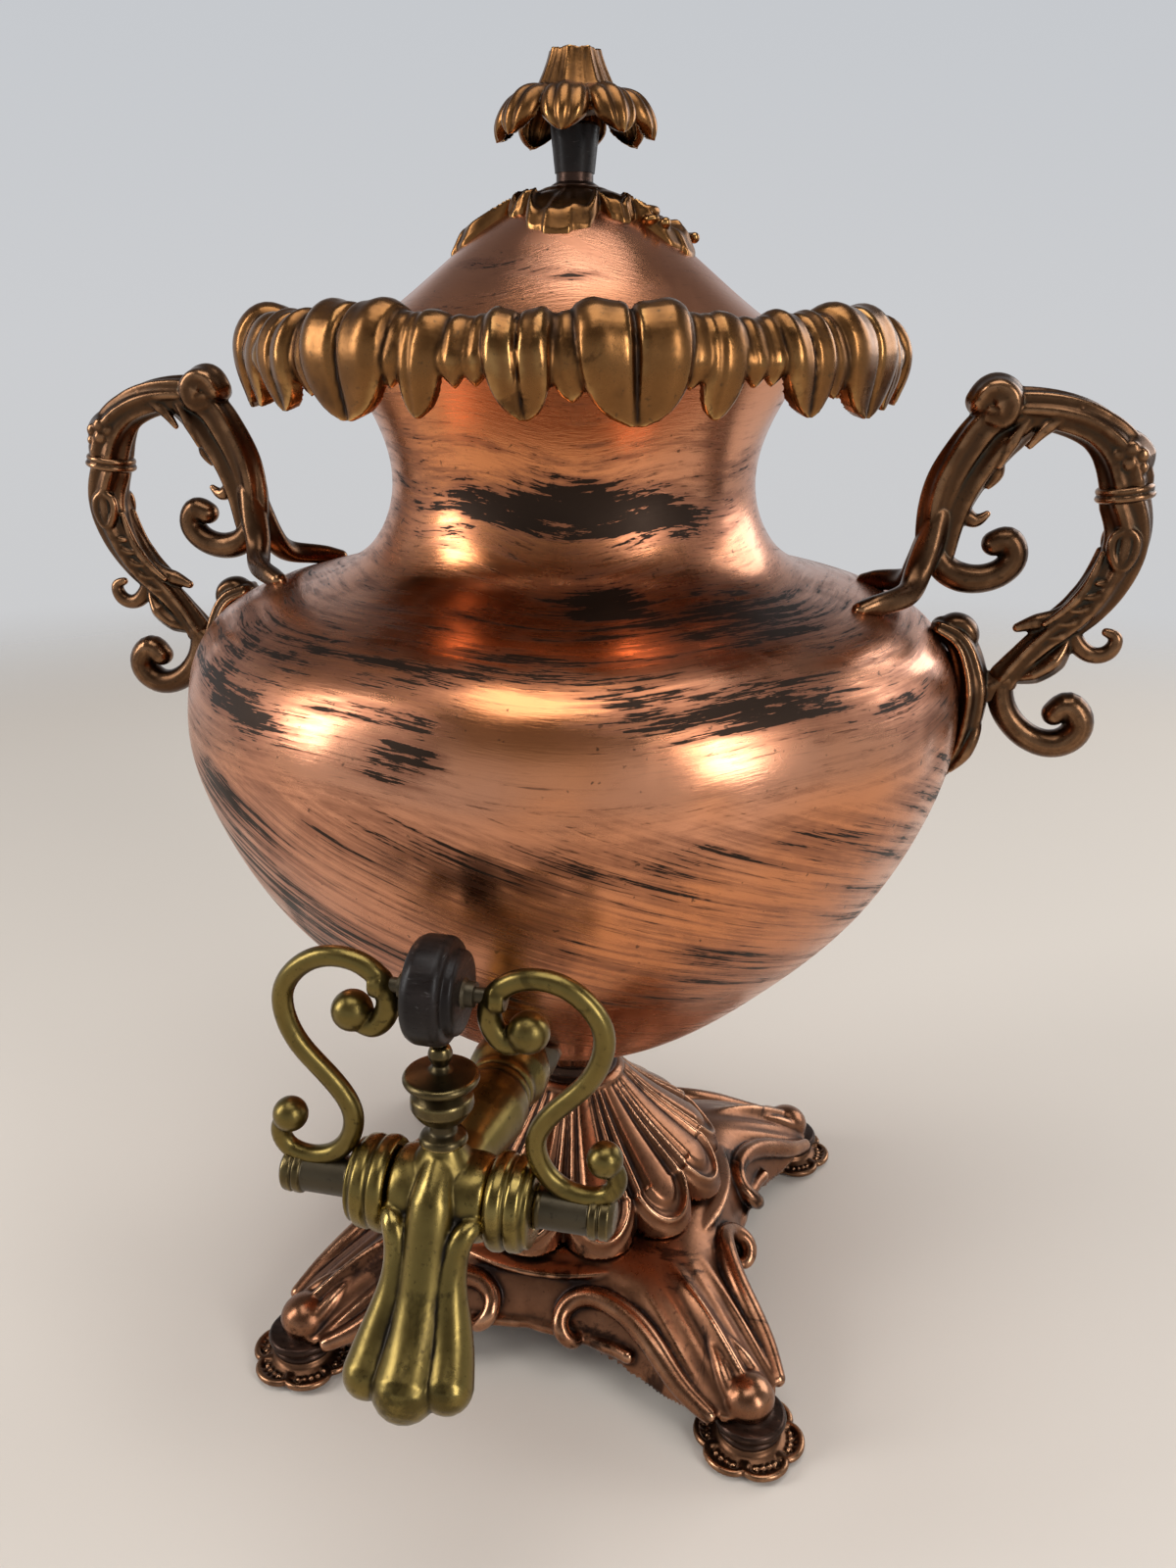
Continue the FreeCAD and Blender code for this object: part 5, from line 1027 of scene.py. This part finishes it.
def make_base():
    """Saddle-shaped base whose four legs run out to the feet, with rolled scroll edges."""
    steps, rows, inner, wall, blur = 241, 70, 38.0, 2.4, 9
    off = np.linspace(-45, 45, steps)
    away = np.abs(off)
    edge = np.interp(away, APRON_AWAY, APRON_EDGE)
    edge = np.convolve(np.pad(edge, blur // 2, mode="edge"), np.ones(blur) / blur, mode="valid")
    share = np.linspace(0, 1, rows)[:, None]
    radius = inner + (edge - inner) * share
    across, along = radius * np.sin(np.radians(off)), radius * np.cos(np.radians(off))
    leg = unit((along - 62) / 34)
    leg = leg * leg * (3 - 2 * leg)
    apron = unit((away - 12) / 33)[None, :]
    end = unit((radius - 52) / np.maximum(edge - 52, 1))
    top = 42.0 - (24.0 - 3.5 * apron) * end ** (1.75 + 1.1 * apron)
    dip = 3.0 * np.sin(math.pi * end) * apron
    flute = 1.9 * np.cos(across / 14.5 * 2 * math.pi) + 0.9 * np.cos(across / 7.25 * 2 * math.pi + 0.5)
    fall = 0.010 * across ** 2 * leg
    outer = np.stack([across, -along, top - dip + flute * leg * np.exp(-(across / 17) ** 4) - fall], axis=2)
    under = outer - np.array([0, 0, wall])
    leg_shell = part_of(np.concatenate([outer, under[::-1]]), grid_faces(2 * rows, steps, True, False))
    last = 2 * rows - 1
    for column in (0, steps - 1):
        for row in range(rows - 1):
            corners = (row, row + 1, last - 1 - row, last - row)
            leg_shell[1].append(tuple(corner * steps + column for corner in corners))
    rim = []
    for around in np.linspace(18, 72, 19):
        near = min(around, 90 - around)
        reach = np.interp(near, APRON_AWAY, APRON_EDGE) - 1.4
        x, y = reach * math.sin(math.radians(around)), -reach * math.cos(math.radians(around))
        rim.append((x, y, 19.4 + 1.6 * (near - 18) / 27))
    parts = []
    for index in range(4):
        pieces = [leg_shell]
        for side in (-1, 1):
            pieces.append(limb([(side * x, y, z) for x, y, z in LEG_BEAD], LEG_BEAD_RADII, 90, 24))
            pieces.append(limb([(side * x, y, z) for x, y, z in LEG_LIP], [1.4, 2.6, 3.0, 2.4], 40, 18))
        pieces.append(ball((0, -111.6, 17.6), 9.8, (0.92, 0.92, 0.82)))
        pieces.append(limb(rim, [2.5] * len(rim), 70, 18))
        parts += [turned_part(piece, 45 + 90 * index) for piece in pieces]
    parts.append(turning([(0, 40.2), (40, 40.2), (58, 40.0), (62.5, 38.6), (62.5, 36.8), (40, 37.6),
                          (0, 37.6)], 1.0, 160))
    show_casting("footed_base", parts, 0.7, (20, 1.2), "urn", PLAIN_COPPER, "base_plate",
                 smooth=2)


FEET = [(80, -80), (80, 80), (-80, 80), (-80, -80)]


def make_feet():
    """Turned cups on beaded rosettes."""
    cup = turning([(0, 5.6), (9.0, 5.6), (10.8, 6.6), (10.8, 8.0), (9.4, 9.2), (11.6, 10.0), (12.2, 11.8),
                   (11.4, 13.2), (8.0, 13.6), (5.4, 14.6), (4.6, 15.6), (0, 15.6)], 0.7, 96)
    rim = [(7.2 * math.sin(a), -12.2 - 5.2 * math.cos(a),
            2.1 + 0.8 * math.cos(a / 2)) for a in np.linspace(-2.1, 2.1, 12)]
    petal = [limb(rim, [1.3] * 12, 34, 12), ball((0, -12.4, 1.3), 6.0, (1.1, 0.86, 0.22))]
    for column, row in ((-3.4, 0.4), (-1.2, 0), (1.2, 0), (3.4, 0.4), (-2.3, -2.0), (0, -2.3), (2.3, -2.0)):
        petal.append(ball((column, -13.6 + row, 2.7), 1.05))
    rosette = [turned_part(part, 30 + 60 * index) for index in range(6) for part in petal]
    rosette.append(turning([(0, 0.1), (13.5, 0.1), (15.2, 1.0), (13.4, 2.6), (10.4, 4.2), (9.6, 6.0),
                            (0, 6.0)], 0.5, 96))
    for index, (x, y) in enumerate(FEET, 1):
        show_casting(f"rosette_{index}", [moved_part(part, (x, y, 0)) for part in rosette], 0.42, (10, 0.6),
                     "urn", FOOT_BRASS, f"foot_rosette_{index}")
        show_turning(f"foot_cup_{index}", moved_part(cup, (x, y, 0)), "urn", BLACKENED,
                     f"foot_collar_{index}")


# Tap

TAP_Y = -143.8
TAP_Z = 134.0
GRIP_Z = 194.4
# middle of the spout, and the lobe on its right
SPOUT = [(0, -146.5, 145.0), (0, -153.2, 137.5), (0, -158.2, 127.6), (0, -163.6, 117.0), (0, -170.2, 107.2),
         (0, -177.4, 100.4)]
SPOUT_LOBE = [(12.2, -148.6, 130.6), (11.8, -153.4, 133.4), (9.8, -157.0, 132.6), (8.0, -159.4, 127.8),
              (7.2, -161.8, 121.2), (8.2, -165.6, 113.2), (9.8, -171.0, 105.8), (10.5, -175.8, 101.2)]


def make_tap():
    """Pipe, barrel and three-lobed spout, with its glands, finial and flange."""
    pipe = rounded([(0, -8), (10.5, -8), (12.6, -14), (12.4, -19), (10.2, -23.5), (10.6, -25),
                    (10.6, -26.6), (9.6, -27.4), (10.4, -28.2), (10.4, -29.8), (9.8, -30.6), (11.2, -33),
                    (11.4, -40), (9.4, -50), (7.4, -58), (7.0, -66), (8.4, -74), (0, -78)], 0.8)
    barrel = turning([(0, -13.2), (10.8, -13.2), (11.8, -10), (12.0, 0), (11.8, 10), (10.8, 13.2),
                      (0, 13.2)], 1.5, 96)
    column = turning([(0, 128), (10.4, 138), (8.6, 144), (5.6, 148.2), (4.4, 151), (0, 151)], 1.6, 64)
    parts = [axis_part(lathe([(r, -z) for r, z in pipe], 96), (0, -68, TAP_Z), (0, -1, 0)),
             axis_part(barrel, (0, TAP_Y, TAP_Z), (1, 0, 0)),
             moved_part(column, (0, TAP_Y, 0)),
             limb(SPOUT, [4.6, 6.4, 6.5, 6.7, 7.8, 8.8], 90, 40)]
    for side in (-1, 1):
        parts.append(limb([(side * x, y, z) for x, y, z in SPOUT_LOBE],
                          [2.6, 2.9, 3.1, 3.4, 4.2, 5.2, 6.1, 6.7], 100, 30))
    body = cast("tap_casting", parts, 0.5, smooth=2)
    points, faces = limb([(0, -163, 112), (0, -171, 100.5), (0, -177, 88)], [4.5, 6.5, 8.5], 30, 32)
    cutter = object_of("spout_cutter", (points * np.array([1.45, 1, 1]), faces))
    cut = body.modifiers.new("bore", "BOOLEAN")
    cut.operation = "DIFFERENCE"
    cut.object = cutter
    cut.solver = "EXACT"
    apply_modifiers(body)
    bpy.data.objects.remove(cutter)
    show(carve_relief(body, 34, 1.3), "urn", TAP_BRASS, "tap_body")
    gland = turning([(5.7, 13.6), (12.0, 13.6), (13.0, 15.2), (12.8, 17.6), (11.6, 18.6), (12.6, 19.6),
                     (12.4, 22.4), (11.0, 23.4), (11.2, 24.6), (9.6, 25.2), (5.7, 25.2)], 0.7, 96, True)
    for name, side in SIDES:
        ring = axis_part(gland, (0, TAP_Y, TAP_Z), (side, 0, 0))
        show_turning(f"gland_rings_{name}", ring, "urn", TAP_BRASS, f"gland_{name}")
    finial = turning([(0, 150.4), (6.6, 150.4), (6.0, 152.4), (3.6, 153.6), (3.4, 156.2), (6.2, 157.8),
                      (8.4, 161.2), (8.2, 164.2), (5.2, 166.4), (5.0, 167.2), (9.4, 168.0), (10.2, 169.4),
                      (9.4, 170.6), (3.2, 171.8), (1.9, 173.2), (2.6, 174.2), (3.3, 176.2), (2.6, 178.4),
                      (0, 179.2)], 0.7, 96)
    show_turning("tap_finial_turning", moved_part(finial, (0, TAP_Y, 0)), "urn", SPINDLE_BRASS,
                 "tap_finial")


# right arm of the lever, from the spindle to the grip, as (x, z)
LEVER = [(43.4, 151.3), (46.4, 146.6), (44.6, 141.4), (40.2, 139.4), (34.6, 139.8), (29.6, 142.6),
         (26.0, 147.8), (25.2, 155.0), (28.4, 161.6), (33.4, 167.4), (38.6, 173.4), (42.0, 180.6),
         (42.4, 188.4), (38.6, 195.2), (32.2, 199.6), (24.8, 200.6), (17.8, 198.0), (13.8, 192.4),
         (14.0, 186.4), (18.2, 182.0), (23.0, 184.2)]
LEVER_RADII = [2.6, 2.7, 2.7] + [2.8] * 13 + [2.9, 3.1, 3.2, 3.2, 3.0]


def make_lever():
    """Scrolled arms, their grip and the ends of the spindle."""
    button = turning([(0, -4.2), (3.6, -4.2), (4.2, -1), (2.6, 1), (0, 1)], 0.6, 40)
    arm = [limb([(x, TAP_Y, z) for x, z in LEVER], LEVER_RADII, 200, 24),
           ball((43.2, TAP_Y, 151.4), 4.8), ball((23.4, TAP_Y, 185.6), 5.5),
           axis_part(button, (13.6, TAP_Y, GRIP_Z), (-1, 0, 0))]
    stub = turning([(0, 24.9), (5.6, 24.9), (5.9, 26.2), (5.4, 27.2), (5.4, 39.4), (6.2, 40.0), (6.2, 41.8),
                    (5.5, 42.3), (6.2, 42.8), (6.0, 45.0), (4.0, 46.2), (0, 46.4)], 0.5, 72)
    for name, side in SIDES:
        shaped = arm if side > 0 else [mirrored_part(part) for part in arm]
        show_casting(f"lever_scroll_{name}", shaped, 0.42, (10, 0.9), "tap_lever", TAP_BRASS,
                     f"lever_{name}", smooth=2)
        end = axis_part(stub, (0, TAP_Y, TAP_Z), (side, 0, 0))
        show_turning(f"spindle_end_{name}", end, "tap_lever", SPINDLE_BRASS, f"end_cap_{name}")
    grip = turning([(2.2, -6.4), (10.6, -6.4), (13.0, -5.6), (14.0, -3.6), (14.0, 2.4), (13.0, 4.0),
                    (11.4, 4.3), (11.0, 4.6), (10.8, 6.4), (9.6, 7.0), (2.2, 7.0)], 0.8, 120, True)
    grip = object_of("grip_turning", axis_part(grip, (0, TAP_Y, GRIP_Z), (1, 0, 0)))
    show(grip, "tap_lever", BLACK_WOOD, "lever_grip")


FLOOR_REACH = 2400
FLOOR_FADE = (0.85, 1.5)
# the room by height of the line of sight: share of the way from below to above, and colour
ROOM = [(0.0, (0.60, 0.58, 0.55)), (0.5, (0.60, 0.61, 0.63)), (0.62, (0.56, 0.58, 0.61)),
        (0.76, (0.20, 0.19, 0.19)), (1.0, (0.10, 0.09, 0.09))]
# lamps: place, aim and size in metres, and power
LAMPS = [("left_window", (-1.5, -0.7, 1.0), (0, 0, 0.24), (0.5, 1.3), 19),
         ("right_window", (1.4, -1.0, 0.9), (0, 0, 0.24), (0.45, 1.1), 14),
         ("ceiling", (0.1, -0.2, 1.9), (0, 0, 0.2), (1.4, 1.2), 17),
         ("back_wall", (1.3, 1.1, 0.9), (0, 0, 0.25), (1.2, 1.0), 12)]


def make_floor():
    """Pale round floor that fades out far from the urn."""
    rings = [(0, 0), (FLOOR_REACH / 2, 0), (FLOOR_REACH, 0)]
    floor = object_of("floor", lathe(rings, 96), weld=False)
    look = Look("floor")
    far = look.add("ShaderNodeVectorMath", {0: look.spot()}, operation="LENGTH").outputs["Value"]
    look.feed(look.shader.inputs["Alpha"], look.spread(far, *FLOOR_FADE, 1.0, 0.0))
    floor.data.materials.append(look.finish((0.66, 0.605, 0.54, 1), 0.6, 0.0))


def make_light():
    """Soft room, pale at eye level and dim overhead, with four soft lamps."""
    world = bpy.data.worlds.new("room")
    bpy.context.scene.world = world
    world.use_nodes = True
    tree = world.node_tree
    way = tree.nodes.new("ShaderNodeTexCoord")
    split = tree.nodes.new("ShaderNodeSeparateXYZ")
    tree.links.new(way.outputs["Generated"], split.inputs[0])
    lift = tree.nodes.new("ShaderNodeMapRange")
    lift.inputs["From Min"].default_value = -1
    tree.links.new(split.outputs["Z"], lift.inputs["Value"])
    ramp = tree.nodes.new("ShaderNodeValToRGB")
    tree.links.new(lift.outputs[0], ramp.inputs[0])
    stops = ramp.color_ramp.elements
    while len(stops) < len(ROOM):
        stops.new(0.5)
    for stop, (place, colour) in zip(stops, ROOM):
        stop.position = place
        stop.color = (*colour, 1)
    tree.links.new(ramp.outputs[0], tree.nodes["Background"].inputs["Color"])
    for name, spot, aim, size, power in LAMPS:
        lamp = bpy.data.lights.new(name, "AREA")
        lamp.shape = "RECTANGLE"
        lamp.size, lamp.size_y = size
        lamp.energy = power
        holder = bpy.data.objects.new(name, lamp)
        bpy.context.collection.objects.link(holder)
        holder.location = spot
        holder.rotation_euler = (Vector(aim) - Vector(spot)).to_track_quat("-Z", "Y").to_euler()


def make_camera():
    """Camera at the photograph's place, worked out from the urn's own proportions."""
    distance, height = 417.6, 348.3
    azimuth, pitch, yaw, roll = (math.radians(turn) for turn in (13.6, 19.64, -0.70, 0.35))
    focal_pixels, picture_height, film = 1278.8, 1600, 36
    spot = Vector((distance * math.sin(azimuth), -distance * math.cos(azimuth), height)) * MM
    heading = azimuth + yaw
    ahead = Vector((-math.sin(heading) * math.cos(pitch), math.cos(heading) * math.cos(pitch),
                    -math.sin(pitch)))
    right = ahead.cross(Vector((0, 0, 1))).normalized()
    above = right.cross(ahead)
    tilted_right = right * math.cos(roll) + above * math.sin(roll)
    tilted_up = above * math.cos(roll) - right * math.sin(roll)
    data = bpy.data.cameras.new("camera")
    data.sensor_width = film
    data.lens = film * focal_pixels / picture_height
    data.clip_start = 0.01
    camera = bpy.data.objects.new("camera", data)
    bpy.context.collection.objects.link(camera)
    turn = Matrix((tilted_right, tilted_up, -ahead)).transposed().to_4x4()
    camera.matrix_world = Matrix.Translation(spot) @ turn
    bpy.context.scene.camera = camera


def dress_hidden_nodes():
    """Finishes of the plain pieces that keep their CAD shape."""
    looks = {"iron": IRON, "tinned_copper": TINNED, "leather_washer": LEATHER, "ebonised_wood": BLACK_WOOD,
             "blackened_copper": BLACKENED, "aged_copper": PLAIN_COPPER, "antique_brass": COLLAR_BRASS,
             "tap_brass": SPINDLE_BRASS, "dark_brass": HANDLE_BRASS}
    for entry in frame["record"]["subparts"]:
        mesh = NODES[entry["node"]].data
        mesh.materials.clear()
        mesh.materials.append(looks[entry["material_slot"]])


bpy.context.scene.view_settings.view_transform = "Standard"
make_camera()
make_floor()
make_light()
dress_hidden_nodes()
make_vessel()
make_lid()
make_collar()
make_leaf_cap()
make_flower()
make_handles()
make_calyx()
make_lobed_dome()
make_neck()
make_base()
make_feet()
make_tap()
make_lever()
